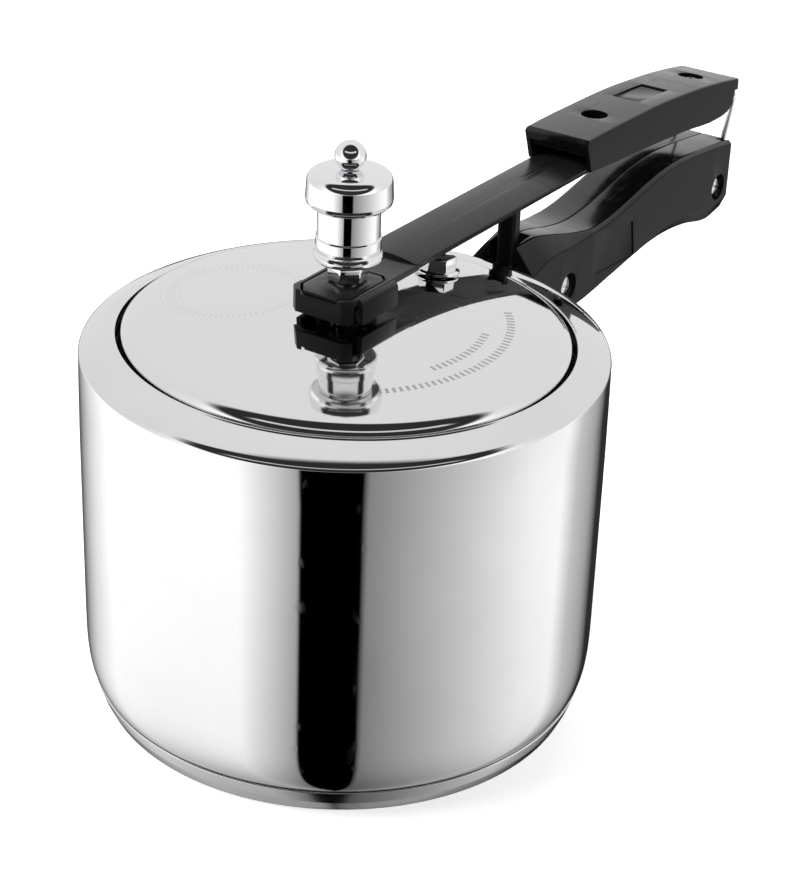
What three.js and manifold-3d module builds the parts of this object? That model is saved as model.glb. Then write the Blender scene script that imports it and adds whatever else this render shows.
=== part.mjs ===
// Stovetop pressure cooker with an inner lid, as a three.js scene graph.
// Millimetres, +Z up. The origin is the centre of the base's underside and +X runs along the handles.
// The lid hangs from the front end of a lever bar that rocks on a pin in the body handle.

import * as THREE from "three";
import { mergeVertices } from "three/addons/utils/BufferGeometryUtils.js";
import Module from "manifold-3d";

const wasm = await Module();
wasm.setup();

// ---------------------------------------------------------------- driving dimensions

const GAP = 0.3; // clearance between pieces that touch on the real object
const ROUND = 44; // segments of the big round parts
const SMALL = 14; // segments of pins, holes and screws
const FINE = 24; // segments of the weight and the vent pipe
const LOOP_SIDES = 8;

// vessel
const WALL_RADIUS = 90.2;
const SHEET = 1.3;
const FLOOR_Z = 7.2; // underside of the vessel's floor
const CORNER_TOP_Z = 36;
const CORNER_START_RADIUS = 79.5;
const SHOULDER_RADIUS = 85.6; // outside it the rim stays round, inside it the rim turns oval
const SHOULDER_Z = 131.7;
const RIM_ARC = { radius: 76.3, z: 115.2, size: 19.8 }; // the low dome from the wall's edge up to the mouth
const EDGE_ARC = { radius: 87.8, z: 128.9, size: 1.95 }; // the wall's upper edge
const MOUTH_RADIUS = 77; // nominal, before the mouth is made oval
const MOUTH_HALF_X = 75.3;
const MOUTH_HALF_Y = 78.7;
const MOUTH_Z = 135.5;

// lid
const LID_TOP_Z = 143.3;
const LID_DOME = 4.7; // drop from the centre to the lid's shoulder
const LID_FLAT_RADIUS = 70.8;
const LID_SHOULDER = 5;
const LID_NECK_RADIUS = LID_FLAT_RADIUS + LID_SHOULDER;
const LID_FLANGE_RADIUS = 79.9;
const LID_FLANGE_Z = 129.7;
const LID_SHEET = 1.2;
const VENT_HOLE_RADIUS = 4.9;

// lever bar and its front saddle
const BAR_HALF_WIDTH = 11.6;
const BAR_THICK = 2.4;
const BAR_TOP_Z = 156.3;
const BAR_ARCH = 1.5; // how much lower the bar's edges are than its middle
const BAR_START_X = 24;
const BAR_END_X = 253;
const SADDLE_FRONT_X = -16.6;
const SADDLE_HALF_WIDTH = 13.6;
const SADDLE_TOP_Z = 154.6;
const SADDLE_THICK = 2.2;
const SADDLE_BOTTOM_Z = 146.4;
const SKIRT_TOP_Z = 153.1;
const EAR_HALF_LENGTH = 10.3;
const LID_PIVOT_Z = 149.8;

// fulcrum
const FULCRUM_X = 105;
const FULCRUM_Z = 122;
const POST_HALF_WIDTH = 3.8;
const POST_DEPTH = 4.6;
const POST_WALL = 1.3;
const POST_LOBE_RADIUS = 4.4; // round lower end of the post's two flanges, on the fulcrum pin

// body handle
const HANDLE_HALF_WIDTH = 14;
const HANDLE_FRONT_X = 100.5;
const HANDLE_REAR_X = 264;
const HANDLE_SPLIT = 0.15; // half of the parting line between the two shells
const FRONT_SCREW = { x: 128.6, z: 111 };
const REAR_SCREW = { x: 254.8, z: 113.4 };
const CHEEK_IN = 5.6; // the steel bracket's cheeks straddle the post
const CHEEK_OUT = 7.2;

// lid grip
const GRIP_HALF_WIDTH = 13.8;
const GRIP_WALL = 1.8;
const GRIP_SCREWS_X = [165, 247];
const GRIP_TOP_AT_SCREW = { 165: 167.2, 247: 161.4 };
const GRIP_BOSS_RADIUS = 6.6;
const GRIP_SCREW_SEAT_Z = 158.4;

// locking loop
const LOOP_PIVOT = { x: 260.4, z: 121.5 };
const LOOP_WIRE = 1.2;
const LOOP_HALF_WIDTH = 12.5; // at the crossbar, which holds the grip's ledge down
const LOOP_HALF_AT_PIVOT = 10.4;
const LOOP_TOP = { x: 263.9, z: 152.2 };

// vent weight, from its lip to the ball on top
const WEIGHT_LIP_Z = 162.4;
const WEIGHT_CAP_Z = 181.4;
const WEIGHT_CAP_RADIUS = 14.6;
const WEIGHT_BARREL_RADIUS = 10.6;
const WEIGHT_CAP_TOP_Z = 193.8;
const KNOB_RADIUS = 5.3;
const KNOB_Z = 198.2;
const PIPE_TIP_Z = 176;

// safety valve on the lid, under the bar
const VALVE_X = 51;
const VALVE_Y = -3;

// ---------------------------------------------------------------- materials

const finish = (color, roughness, metalness) => new THREE.MeshStandardMaterial({ color, roughness, metalness });

const polishedSteel = finish(0xc9cacb, 0.12, 1);
const satinSteel = finish(0xb9babc, 0.3, 1);
const aluminium = finish(0xa9abad, 0.45, 1);
const blackSteel = finish(0x1b1b1c, 0.5, 0.2);
const bakelite = finish(0x121213, 0.35, 0);
const rubber = finish(0x232324, 0.8, 0);
const chrome = finish(0xd6d7d8, 0.08, 1);
const zincSteel = finish(0xa8a9a6, 0.35, 1);
const fusibleMetal = finish(0x8d8f92, 0.5, 1);

// ---------------------------------------------------------------- solids

function signedVolume(geometry) {
  const place = geometry.getAttribute("position");
  const index = geometry.getIndex();
  const a = new THREE.Vector3();
  const b = new THREE.Vector3();
  const c = new THREE.Vector3();
  let volume = 0;
  for (let i = 0; i < index.count; i += 3) {
    a.fromBufferAttribute(place, index.getX(i));
    b.fromBufferAttribute(place, index.getX(i + 1));
    c.fromBufferAttribute(place, index.getX(i + 2));
    volume += a.dot(b.cross(c)) / 6;
  }
  return volume;
}

// A closed three.js geometry becomes a manifold solid with its faces pointing out.
function solid(geometry) {
  geometry.deleteAttribute("normal");
  geometry.deleteAttribute("uv");
  const merged = mergeVertices(geometry, 1e-4);
  const triVerts = new Uint32Array(merged.getIndex().array);
  if (signedVolume(merged) < 0) {
    for (let i = 0; i < triVerts.length; i += 3) {
      [triVerts[i], triVerts[i + 1]] = [triVerts[i + 1], triVerts[i]];
    }
  }
  const vertProperties = new Float32Array(merged.getAttribute("position").array);
  return new wasm.Manifold(new wasm.Mesh({ numProp: 3, vertProperties, triVerts }));
}

function toGeometry(body) {
  const { vertProperties, triVerts } = body.getMesh();
  const geometry = new THREE.BufferGeometry();
  geometry.setAttribute("position", new THREE.BufferAttribute(new Float32Array(vertProperties), 3));
  geometry.setIndex(new THREE.BufferAttribute(new Uint32Array(triVerts), 1));
  geometry.computeVertexNormals();
  return geometry;
}

const joined = (first, ...rest) => rest.reduce((sum, next) => sum.add(next), first);
const cut = (body, ...tools) => tools.reduce((left, tool) => left.subtract(tool), body);

// Turns a profile of [radius, height] points round the Z axis.
function lathe(profile, segments = ROUND) {
  const points = profile.map(([radius, height]) => new THREE.Vector2(radius, height));
  const geometry = new THREE.LatheGeometry(points, segments);
  geometry.rotateX(Math.PI / 2);
  return geometry;
}

const turned = (profile, segments) => solid(lathe(profile, segments));

// A ring profile closes on itself.
const ring = (profile, segments) => turned([...profile, profile[0]], segments);

function box(x0, x1, y0, y1, z0, z1) {
  const geometry = new THREE.BoxGeometry(x1 - x0, y1 - y0, z1 - z0);
  geometry.translate((x0 + x1) / 2, (y0 + y1) / 2, (z0 + z1) / 2);
  return solid(geometry);
}

const shapeOf = (outline) => new THREE.Shape(outline.map(([u, v]) => new THREE.Vector2(u, v)));

// A plan outline of [x, y] points, raised from z0 to z1.
function plate(outline, z0, z1) {
  const geometry = new THREE.ExtrudeGeometry(shapeOf(outline), { depth: z1 - z0, bevelEnabled: false });
  geometry.translate(0, 0, z0);
  return solid(geometry);
}

// A side outline of [x, z] points, from y0 to y1, with an optional chamfer round both faces.
function slab(outline, y0, y1, chamfer = 0) {
  const geometry = new THREE.ExtrudeGeometry(shapeOf(outline), {
    depth: y1 - y0 - 2 * chamfer,
    bevelEnabled: chamfer > 0,
    bevelThickness: chamfer,
    bevelSize: chamfer,
    bevelOffset: -chamfer,
    bevelSegments: 1,
  });
  geometry.rotateX(Math.PI / 2);
  geometry.translate(0, y1 - chamfer, 0);
  return solid(geometry);
}

// A round rod between two points.
function rod(radius, from, to, segments = SMALL) {
  const start = new THREE.Vector3(...from);
  const along = new THREE.Vector3(...to).sub(start);
  const geometry = new THREE.CylinderGeometry(radius, radius, along.length(), segments);
  geometry.translate(0, along.length() / 2, 0);
  geometry.applyQuaternion(new THREE.Quaternion().setFromUnitVectors(new THREE.Vector3(0, 1, 0), along.normalize()));
  geometry.translate(start.x, start.y, start.z);
  return solid(geometry);
}

const hexRadius = (acrossFlats) => acrossFlats / Math.sqrt(3);

function hexNut(acrossFlats, holeRadius, x, y, z0, z1) {
  const body = rod(hexRadius(acrossFlats), [x, y, z0], [x, y, z1], 6);
  return cut(body, rod(holeRadius, [x, y, z0 - 1], [x, y, z1 + 1]));
}

// A round wire along a path of points with rounded corners.
function wire(points, radius, steps) {
  const path = new THREE.CatmullRomCurve3(points.map((point) => new THREE.Vector3(...point)), false, "catmullrom", 0.35);
  const section = new THREE.Shape();
  section.absarc(0, 0, radius, 0, 2 * Math.PI);
  return solid(new THREE.ExtrudeGeometry(section, { steps, curveSegments: LOOP_SIDES / 2, extrudePath: path }));
}

// Points on an arc in a profile, in degrees anticlockwise from the first axis.
function arc(centreU, centreV, radius, fromDegrees, toDegrees, count) {
  return Array.from({ length: count }, (_, i) => {
    const angle = THREE.MathUtils.degToRad(fromDegrees + ((toDegrees - fromDegrees) * i) / (count - 1));
    return [centreU + radius * Math.cos(angle), centreV + radius * Math.sin(angle)];
  });
}

// ---------------------------------------------------------------- vessel and base

// The wall's lower corner: a superellipse of order four, from the floor up to the straight wall.
function cornerProfile(startRadius, endRadius, lowZ, count) {
  return Array.from({ length: count }, (_, i) => {
    const angle = (Math.PI / 2) * (i / (count - 1));
    const radius = startRadius + (endRadius - startRadius) * Math.sqrt(Math.sin(angle));
    const height = CORNER_TOP_Z - (CORNER_TOP_Z - lowZ) * Math.sqrt(Math.cos(angle));
    return [radius, height];
  });
}

function mouthRadiusAt(angle) {
  const across = Math.cos(angle) / MOUTH_HALF_X;
  const along = Math.sin(angle) / MOUTH_HALF_Y;
  return 1 / Math.hypot(across, along);
}

// Pulls the rim's inner edge from a circle to the oval mouth and leaves the shoulder round.
function ovaliseRim(geometry) {
  const place = geometry.getAttribute("position");
  for (let i = 0; i < place.count; i += 1) {
    const radius = Math.hypot(place.getX(i), place.getY(i));
    if (place.getZ(i) > SHOULDER_Z - 2 && radius < SHOULDER_RADIUS) {
      const angle = Math.atan2(place.getY(i), place.getX(i));
      const share = (SHOULDER_RADIUS - radius) / (SHOULDER_RADIUS - MOUTH_RADIUS);
      const scale = (radius + (mouthRadiusAt(angle) - MOUTH_RADIUS) * share) / radius;
      place.setXY(i, place.getX(i) * scale, place.getY(i) * scale);
    }
  }
  return geometry;
}

function makeVessel() {
  const outer = [
    [0, FLOOR_Z],
    ...cornerProfile(CORNER_START_RADIUS, WALL_RADIUS, FLOOR_Z, 6),
    [WALL_RADIUS - 0.1, 100],
    ...arc(EDGE_ARC.radius, EDGE_ARC.z, EDGE_ARC.size, 8, 50, 3),
    ...arc(RIM_ARC.radius, RIM_ARC.z, RIM_ARC.size, 56, 80, 4),
    [78.1, 135],
    [77.5, MOUTH_Z],
    [77, 135.2],
  ];
  const inner = [
    [77, 134],
    ...arc(RIM_ARC.radius, RIM_ARC.z, RIM_ARC.size - SHEET, 81, 53, 5),
    [WALL_RADIUS - SHEET - 0.4, 128.4],
    [WALL_RADIUS - SHEET - 0.1, 100],
    ...cornerProfile(CORNER_START_RADIUS - 0.6, WALL_RADIUS - SHEET, FLOOR_Z + SHEET, 6).reverse(),
    [0, FLOOR_Z + SHEET],
  ];
  return solid(ovaliseRim(lathe([...outer, ...inner])));
}

const makeBaseCore = () => turned([[0, 1.2], [82, 1.2], [83.2, 2.4], [82.4, FLOOR_Z - GAP], [0, FLOOR_Z - GAP]]);

function makeBaseCap() {
  return turned([
    [0, 0], [84.2, 0], [85.4, 0.9], [88, 9.4], [87.4, 9.7], [84.6, 1.4], [83.8, 0.9], [0, 0.9],
  ]);
}

// ---------------------------------------------------------------- lid

const lidHeightAt = (radius) => LID_TOP_Z - LID_DOME * (radius / LID_FLAT_RADIUS) ** 2;

// Everything pressed into the lid's oval is drawn round and then stretched.
function ovalised(geometry) {
  geometry.scale(MOUTH_HALF_X / MOUTH_RADIUS, MOUTH_HALF_Y / MOUTH_RADIUS, 1);
  return geometry;
}

function makeLidPlate(valve) {
  const domeRadii = [VENT_HOLE_RADIUS, 25, 50];
  const shoulderZ = lidHeightAt(LID_FLAT_RADIUS) - LID_SHOULDER;
  const profile = [
    ...domeRadii.map((radius) => [radius, lidHeightAt(radius)]),
    ...arc(LID_FLAT_RADIUS, shoulderZ, LID_SHOULDER, 86, 0, 4),
    [LID_NECK_RADIUS, LID_FLANGE_Z + 1.8],
    [76.8, LID_FLANGE_Z + 0.1],
    [LID_FLANGE_RADIUS, LID_FLANGE_Z],
    [LID_FLANGE_RADIUS, LID_FLANGE_Z - 4.8],
    [LID_FLANGE_RADIUS - 1, LID_FLANGE_Z - 4.8],
    [LID_FLANGE_RADIUS - 1, LID_FLANGE_Z - 1.2],
    [75.9, LID_FLANGE_Z - 1.1],
    [LID_NECK_RADIUS - LID_SHEET, LID_FLANGE_Z + 1.4],
    ...arc(LID_FLAT_RADIUS, shoulderZ, LID_SHOULDER - LID_SHEET, 0, 86, 4),
    ...domeRadii.map((radius) => [radius, lidHeightAt(radius) - LID_SHEET]).reverse(),
  ];
  const shell = solid(ovalised(lathe([...profile, profile[0]])));
  return cut(shell, valve.hole);
}

function makeGasket() {
  const seatZ = LID_FLANGE_Z + 0.6;
  const section = [
    [77.3, seatZ], [80.3, seatZ], [80.3, seatZ - 6], [82.2, seatZ - 6], [82.2, seatZ + 1], [81.4, seatZ + 1.6],
    [77.3, seatZ + 1.6], [77.3, seatZ],
  ];
  return solid(ovalised(lathe(section)));
}

// The hexagon of the bracket's top plate, which sits in a window of the bar's saddle.
function bracketOutline(margin) {
  const front = SADDLE_FRONT_X + 0.7 - margin;
  const side = 9.8 + margin;
  const back = 9.4 + margin;
  return [
    [front, -6.6 - margin], [front + 4.4, -side], [back - 2.5, -side], [back, -7 - margin],
    [back, 7 + margin], [back - 2.5, side], [front + 4.4, side], [front, 6.6 + margin],
  ];
}

function makeLidBracket() {
  const top = plate(bracketOutline(0), SADDLE_TOP_Z - 1.1, SADDLE_TOP_Z);
  const under = plate(bracketOutline(-2.2), SADDLE_TOP_Z - 2.6, SADDLE_TOP_Z - 1);
  const legBottomZ = lidHeightAt(0) + GAP;
  const legs = [-1, 1].map((side) => {
    const inner = side < 0 ? -8.2 : 6.4;
    return box(-6.5, 6.5, inner, inner + 1.8, legBottomZ, SADDLE_TOP_Z - 2);
  });
  const pivotHole = rod(1.8, [0, -12, LID_PIVOT_Z], [0, 12, LID_PIVOT_Z]);
  const ventHole = rod(VENT_HOLE_RADIUS, [0, 0, 140], [0, 0, 160]);
  return cut(joined(top, under, ...legs), pivotHole, ventHole);
}

function makeVentPipe() {
  return ring([
    [1.3, 136], [4.5, 136], [4.5, 168.6], [3.4, 170.4], [3.2, 173.4], [2.2, PIPE_TIP_Z], [1.3, PIPE_TIP_Z],
  ], FINE);
}

// The safety valve stands square to the domed lid, so it has a frame of its own.
function makeSafetyValve() {
  const radius = Math.hypot(VALVE_X, VALVE_Y);
  const slope = (2 * LID_DOME * radius) / LID_FLAT_RADIUS ** 2;
  const normal = new THREE.Vector3((VALVE_X / radius) * slope, (VALVE_Y / radius) * slope, 1).normalize();
  const frame = new THREE.Group();
  frame.position.set(VALVE_X, VALVE_Y, lidHeightAt(radius));
  frame.quaternion.setFromUnitVectors(new THREE.Vector3(0, 0, 1), normal);
  frame.updateMatrix();
  const hole = rod(4.6, [0, 0, -6], [0, 0, 6]).transform(frame.matrix.toArray());

  const flange = turned([[0, 0.5], [8, 0.5], [8, 1.3], [7.2, 1.9], [0, 1.9]], SMALL);
  const head = rod(hexRadius(11.5), [0, 0, 1.8], [0, 0, 6.4], 6);
  const stem = rod(4.2, [0, 0, -6.5], [0, 0, 1]);
  const body = cut(joined(flange, head, stem), rod(2.4, [0, 0, -7], [0, 0, 7]));
  const plug = rod(2.1, [0, 0, -5.5], [0, 0, 5.9]);
  const washer = ring([[4.5, -2.6], [7.6, -2.6], [7.6, -1.7], [4.5, -1.7]], SMALL);
  const nut = hexNut(12, 4.5, 0, 0, -6, -2.9);
  return { frame, hole, body, plug, washer, nut };
}

// ---------------------------------------------------------------- lever

function makeLeverBar() {
  const archRadius = (BAR_HALF_WIDTH ** 2 + BAR_ARCH ** 2) / (2 * BAR_ARCH);
  const halfAngle = THREE.MathUtils.radToDeg(Math.asin(BAR_HALF_WIDTH / archRadius));
  const centreZ = BAR_TOP_Z - archRadius;
  const section = [
    ...arc(0, centreZ, archRadius, 90 + halfAngle, 90 - halfAngle, 7),
    ...arc(0, centreZ, archRadius - BAR_THICK, 90 - halfAngle, 90 + halfAngle, 7),
  ];
  const arm = new THREE.ExtrudeGeometry(shapeOf(section), { depth: BAR_END_X - BAR_START_X, bevelEnabled: false });
  arm.rotateX(Math.PI / 2);
  arm.rotateZ(Math.PI / 2);
  arm.translate(BAR_START_X, 0, 0);

  const plateBottomZ = SADDLE_TOP_Z - SADDLE_THICK;
  const flat = plate([
    [SADDLE_FRONT_X, -9.2], [-12.4, -SADDLE_HALF_WIDTH], [EAR_HALF_LENGTH, -SADDLE_HALF_WIDTH],
    [EAR_HALF_LENGTH + 2.5, -BAR_HALF_WIDTH], [BAR_START_X + 2, -BAR_HALF_WIDTH],
    [BAR_START_X + 2, BAR_HALF_WIDTH], [EAR_HALF_LENGTH + 2.5, BAR_HALF_WIDTH],
    [EAR_HALF_LENGTH, SADDLE_HALF_WIDTH], [-12.4, SADDLE_HALF_WIDTH], [SADDLE_FRONT_X, 9.2],
  ], plateBottomZ, SADDLE_TOP_Z);
  const skirtSide = [[SADDLE_FRONT_X, 9.2], [-13.8, 12.2], [-12.3, 10.9], [SADDLE_FRONT_X + 2, 8.4]];
  const skirt = plate(
    [...skirtSide.map(([x, y]) => [x, -y]), ...skirtSide.slice().reverse()],
    SADDLE_BOTTOM_Z, SADDLE_TOP_Z - 0.5,
  );
  const ears = [-1, 1].map((side) => {
    const inner = side < 0 ? -SADDLE_HALF_WIDTH : SADDLE_HALF_WIDTH - 2;
    return box(-EAR_HALF_LENGTH, EAR_HALF_LENGTH, inner, inner + 2, SADDLE_BOTTOM_Z, SADDLE_TOP_Z - 0.5);
  });
  const window = plate(bracketOutline(0.7), plateBottomZ - 1, SADDLE_TOP_Z + 1);
  const skirtRelief = plate(bracketOutline(0.7), SKIRT_TOP_Z, SADDLE_TOP_Z + 1);
  const pivotHole = rod(1.8, [0, -20, LID_PIVOT_Z], [0, 20, LID_PIVOT_Z]);
  const screwHoles = GRIP_SCREWS_X.map((x) => rod(2.5, [x, 0, 140], [x, 0, 170]));
  const saddle = joined(cut(flat, window), cut(skirt, skirtRelief), ...ears);
  return cut(joined(solid(arm), saddle), pivotHole, ...screwHoles);
}

function makeFulcrumPost() {
  const frontX = FULCRUM_X - POST_DEPTH / 2;
  const topZ = BAR_TOP_Z - BAR_THICK - BAR_ARCH - GAP;
  const channelHalf = POST_HALF_WIDTH - POST_WALL;
  const outside = box(frontX, frontX + POST_DEPTH, -POST_HALF_WIDTH, POST_HALF_WIDTH, FULCRUM_Z, topZ);
  const lobe = rod(POST_LOBE_RADIUS, [FULCRUM_X, -POST_HALF_WIDTH, FULCRUM_Z], [FULCRUM_X, POST_HALF_WIDTH, FULCRUM_Z]);
  const channel = box(frontX - 9, frontX + POST_DEPTH - POST_WALL, -channelHalf, channelHalf, 100, topZ + 1);
  const lobeGap = box(FULCRUM_X - 9, FULCRUM_X + 9, -channelHalf, channelHalf, 100, FULCRUM_Z + POST_LOBE_RADIUS);
  const pinHole = rod(2.3, [FULCRUM_X, -10, FULCRUM_Z], [FULCRUM_X, 10, FULCRUM_Z]);
  return cut(joined(outside, lobe), channel, lobeGap, pinHole);
}

function makeLidGrip() {
  const outline = [
    [135.6, 167.3], [166, 167.2], [198.2, 166.4], [229.6, 163.7], [261.5, 159.5], [264.9, 158.9],
    [264.6, 151], [262.9, 148.9], [258.6, 146.9], [248.1, 145.2], [218.6, 148.4], [186.2, 150.9], [162.8, 152.1], [140.2, 153.8],
  ];
  const cavity = [
    [130, 162.6], [166, 162.6], [198.2, 161.8], [229.6, 159.9], [255.4, 157.6], [255.4, 140], [130, 140],
  ];
  const inside = GRIP_HALF_WIDTH - GRIP_WALL;
  const shell = cut(
    slab(outline, -GRIP_HALF_WIDTH, GRIP_HALF_WIDTH, 0.8),
    slab(cavity, -inside, inside),
  );
  const bossBottomZ = BAR_TOP_Z + GAP;
  const bosses = GRIP_SCREWS_X.map((x) => rod(GRIP_BOSS_RADIUS, [x, 0, bossBottomZ], [x, 0, GRIP_TOP_AT_SCREW[x] - 1]));
  const recesses = GRIP_SCREWS_X.map((x) => rod(5.2, [x, 0, GRIP_SCREW_SEAT_Z], [x, 0, 180]));
  const shankHoles = GRIP_SCREWS_X.map((x) => rod(2.5, [x, 0, 140], [x, 0, 170]));
  const label = solid(new THREE.BoxGeometry(25, 12, 1.4).rotateY(0.075).translate(202.5, 0, 166.2));
  const loopNotch = box(262.2, 270, -20, 20, 150.4, 154.2);
  const legSlots = [-1, 1].map((side) => {
    const inner = side < 0 ? -20 : LOOP_HALF_AT_PIVOT - 0.4;
    return box(261.2, 270, inner, inner + 20 - LOOP_HALF_AT_PIVOT + 0.4, 140, 152);
  });
  return cut(joined(shell, ...bosses), ...recesses, ...shankHoles, label, loopNotch, ...legSlots);
}

function makeGripScrew(x) {
  const head = rod(4.2, [x, 0, GRIP_SCREW_SEAT_Z + GAP], [x, 0, GRIP_SCREW_SEAT_Z + 2.2]);
  const shank = rod(2, [x, 0, 149.4], [x, 0, GRIP_SCREW_SEAT_Z + 1]);
  const slot = box(x - 3, x + 3, -0.5, 0.5, GRIP_SCREW_SEAT_Z + 1.2, GRIP_SCREW_SEAT_Z + 3);
  return cut(joined(head, shank), slot);
}

const makeGripNut = (x) => hexNut(7.5, 2.3, x, 0, 150, BAR_TOP_Z - BAR_THICK - GAP);

// ---------------------------------------------------------------- body handle

const HANDLE_OUTLINE = [
  [HANDLE_FRONT_X, 104], [HANDLE_FRONT_X, 134.2], [112, 135.6], [122, 133.4], [133.3, 130.9], [147.4, 128.8],
  [161.5, 129.5], [175.5, 131.8], [189.9, 134.2], [204.7, 136.5], [220.2, 136.8], [244.8, 134.4], [260.5, 132.4],
  [HANDLE_REAR_X, 130], [HANDLE_REAR_X, 102.6], [260.5, 99.8], [250.5, 98.8], [233, 103.2], [210, 106.4],
  [189, 106.4], [164, 103.4], [139, 100.2], [112, 100.2],
];
const LABEL_OUTLINE = [[146.6, 127], [178, 122.4], [181.2, 106.6], [149.4, 108.8]];

function makeHandleHalf(side) {
  const outer = side * HANDLE_HALF_WIDTH;
  const split = side * HANDLE_SPLIT;
  const across = (from, to) => [Math.min(from, to), Math.max(from, to)];
  const whole = slab(HANDLE_OUTLINE, -HANDLE_HALF_WIDTH, HANDLE_HALF_WIDTH, 1.6);
  const otherSide = box(50, 300, ...across(split, -side * 20), 80, 160);
  const postSlot = box(90, 112, ...across(side * -1, side * 5.4), 107, 150);
  const cheekPocket = box(90, 142.5, ...across(side * -1, side * 7.6), 103, 128);
  const shoulderFacet = solid(
    new THREE.BoxGeometry(60, 20, 10).rotateX(side * -0.96).translate(115, side * 16.2, 135.6),
  );
  const slotFrom = LOOP_HALF_AT_PIVOT - 1.8;
  const loopSlot = box(258.8, 270, ...across(side * slotFrom, side * (slotFrom + 3.7)), 118.6, 150);
  const loopHole = rod(1.6, [LOOP_PIVOT.x, side * 5.6, LOOP_PIVOT.z], [LOOP_PIVOT.x, side * 9, LOOP_PIVOT.z]);
  const screws = [FRONT_SCREW, REAR_SCREW].flatMap(({ x, z }) => {
    const shank = rod(2.4, [x, -20, z], [x, 20, z]);
    const seat = rod(5.6, [x, side * (HANDLE_HALF_WIDTH - 3.4), z], [x, side * 20, z]);
    return [shank, seat];
  });
  const fulcrumHole = rod(2.3, [FULCRUM_X, side * 5, FULCRUM_Z], [FULCRUM_X, side * 9.4, FULCRUM_Z]);
  const cuts = [otherSide, postSlot, cheekPocket, shoulderFacet, loopSlot, loopHole, fulcrumHole, ...screws];
  if (side < 0) {
    cuts.push(slab(LABEL_OUTLINE, outer - 1, outer + 0.6));
  }
  return cut(whole, ...cuts);
}

function makeHandleBracket() {
  const pad = cut(
    box(86, 93.4, -13, 13, 104, 125),
    rod(WALL_RADIUS + GAP, [0, 0, 80], [0, 0, 140], ROUND),
  );
  const cheeks = [-1, 1].map((side) => {
    const inner = side < 0 ? -CHEEK_OUT : CHEEK_IN;
    return box(91, 141.5, inner, inner + CHEEK_OUT - CHEEK_IN, 105, 126);
  });
  const pinHole = rod(2.3, [FULCRUM_X, -10, FULCRUM_Z], [FULCRUM_X, 10, FULCRUM_Z]);
  const screwHole = rod(2.4, [FRONT_SCREW.x, -10, FRONT_SCREW.z], [FRONT_SCREW.x, 10, FRONT_SCREW.z]);
  return cut(joined(pad, ...cheeks), pinHole, screwHole);
}

const makeFulcrumPin = () => rod(2, [FULCRUM_X, -9, FULCRUM_Z], [FULCRUM_X, 9, FULCRUM_Z]);

function makeHandleScrew({ x, z }) {
  const seatY = -(HANDLE_HALF_WIDTH - 3.4);
  const head = rod(4.6, [x, seatY - GAP, z], [x, seatY - 2.5, z]);
  const shank = rod(2, [x, seatY - 1, z], [x, 13, z]);
  const cross = [
    box(x - 2.6, x + 2.6, seatY - 5, seatY - 1.4, z - 0.5, z + 0.5),
    box(x - 0.5, x + 0.5, seatY - 5, seatY - 1.4, z - 2.6, z + 2.6),
  ];
  return cut(joined(head, shank), ...cross);
}

function makeHandleNut({ x, z }) {
  const seatY = HANDLE_HALF_WIDTH - 3.4;
  const body = rod(hexRadius(8), [x, seatY + GAP, z], [x, seatY + 3, z], 6);
  return cut(body, rod(2.3, [x, seatY - 1, z], [x, seatY + 5, z]));
}

function makeLockingLoop() {
  const lean = (LOOP_TOP.x - LOOP_PIVOT.x) / (LOOP_TOP.z - LOOP_PIVOT.z);
  const at = (z, y) => [LOOP_PIVOT.x + lean * (z - LOOP_PIVOT.z), y, z];
  const foot = LOOP_HALF_AT_PIVOT;
  const half = [
    at(LOOP_PIVOT.z, 6.2), at(LOOP_PIVOT.z, 8.6), at(LOOP_PIVOT.z + 0.5, foot - 0.5), at(LOOP_PIVOT.z + 2.5, foot),
    at(LOOP_PIVOT.z + 9, foot + 0.3), at(LOOP_TOP.z - 7, LOOP_HALF_WIDTH - 0.4),
    at(LOOP_TOP.z - 1.8, LOOP_HALF_WIDTH), at(LOOP_TOP.z - 0.2, LOOP_HALF_WIDTH - 1.4), at(LOOP_TOP.z, 8),
  ];
  const mirrored = half.map(([x, y, z]) => [x, -y, z]).reverse();
  return wire([...half, ...mirrored], LOOP_WIRE, 44);
}

// ---------------------------------------------------------------- vent weight

function makeWeightBody() {
  return turned([
    [0, 185.6], [8, 185.6], [8, WEIGHT_CAP_Z - GAP], [WEIGHT_BARREL_RADIUS, WEIGHT_CAP_Z - GAP],
    [WEIGHT_BARREL_RADIUS, 170.7], [11.1, 170.5], [11.1, 166], [10.6, 165.4], [11.6, 164.6], [11.6, 162.9],
    [11, WEIGHT_LIP_Z], [5.6, WEIGHT_LIP_Z], [5.6, 174.6], [2.9, 176.4], [1.8, 177.6], [0, 177.6],
  ], FINE);
}

function makeWeightCap() {
  const edge = 4.4;
  return turned([
    [0, 185.9], [8.4, 185.9], [8.4, WEIGHT_CAP_Z], [12.8, WEIGHT_CAP_Z], [14, WEIGHT_CAP_Z + 0.9],
    [WEIGHT_CAP_RADIUS, WEIGHT_CAP_Z + 2.6],
    ...arc(14.2 - edge, 193.2 - edge, edge, 0, 80, 4), [6, WEIGHT_CAP_TOP_Z - 0.2], [0, WEIGHT_CAP_TOP_Z],
  ], FINE);
}

const makeWeightKnob = () => turned([
  [0, WEIGHT_CAP_TOP_Z + GAP], [3, WEIGHT_CAP_TOP_Z + GAP],
  ...arc(0, KNOB_Z, KNOB_RADIUS, -55, 90, 8).slice(0, -1), [0, KNOB_Z + KNOB_RADIUS],
], FINE);

// ---------------------------------------------------------------- assembly

function named(name, body, material, parent) {
  const mesh = new THREE.Mesh(toGeometry(body), material);
  mesh.name = name;
  parent.add(mesh);
}

const cooker = new THREE.Group();
const valve = makeSafetyValve();

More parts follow.
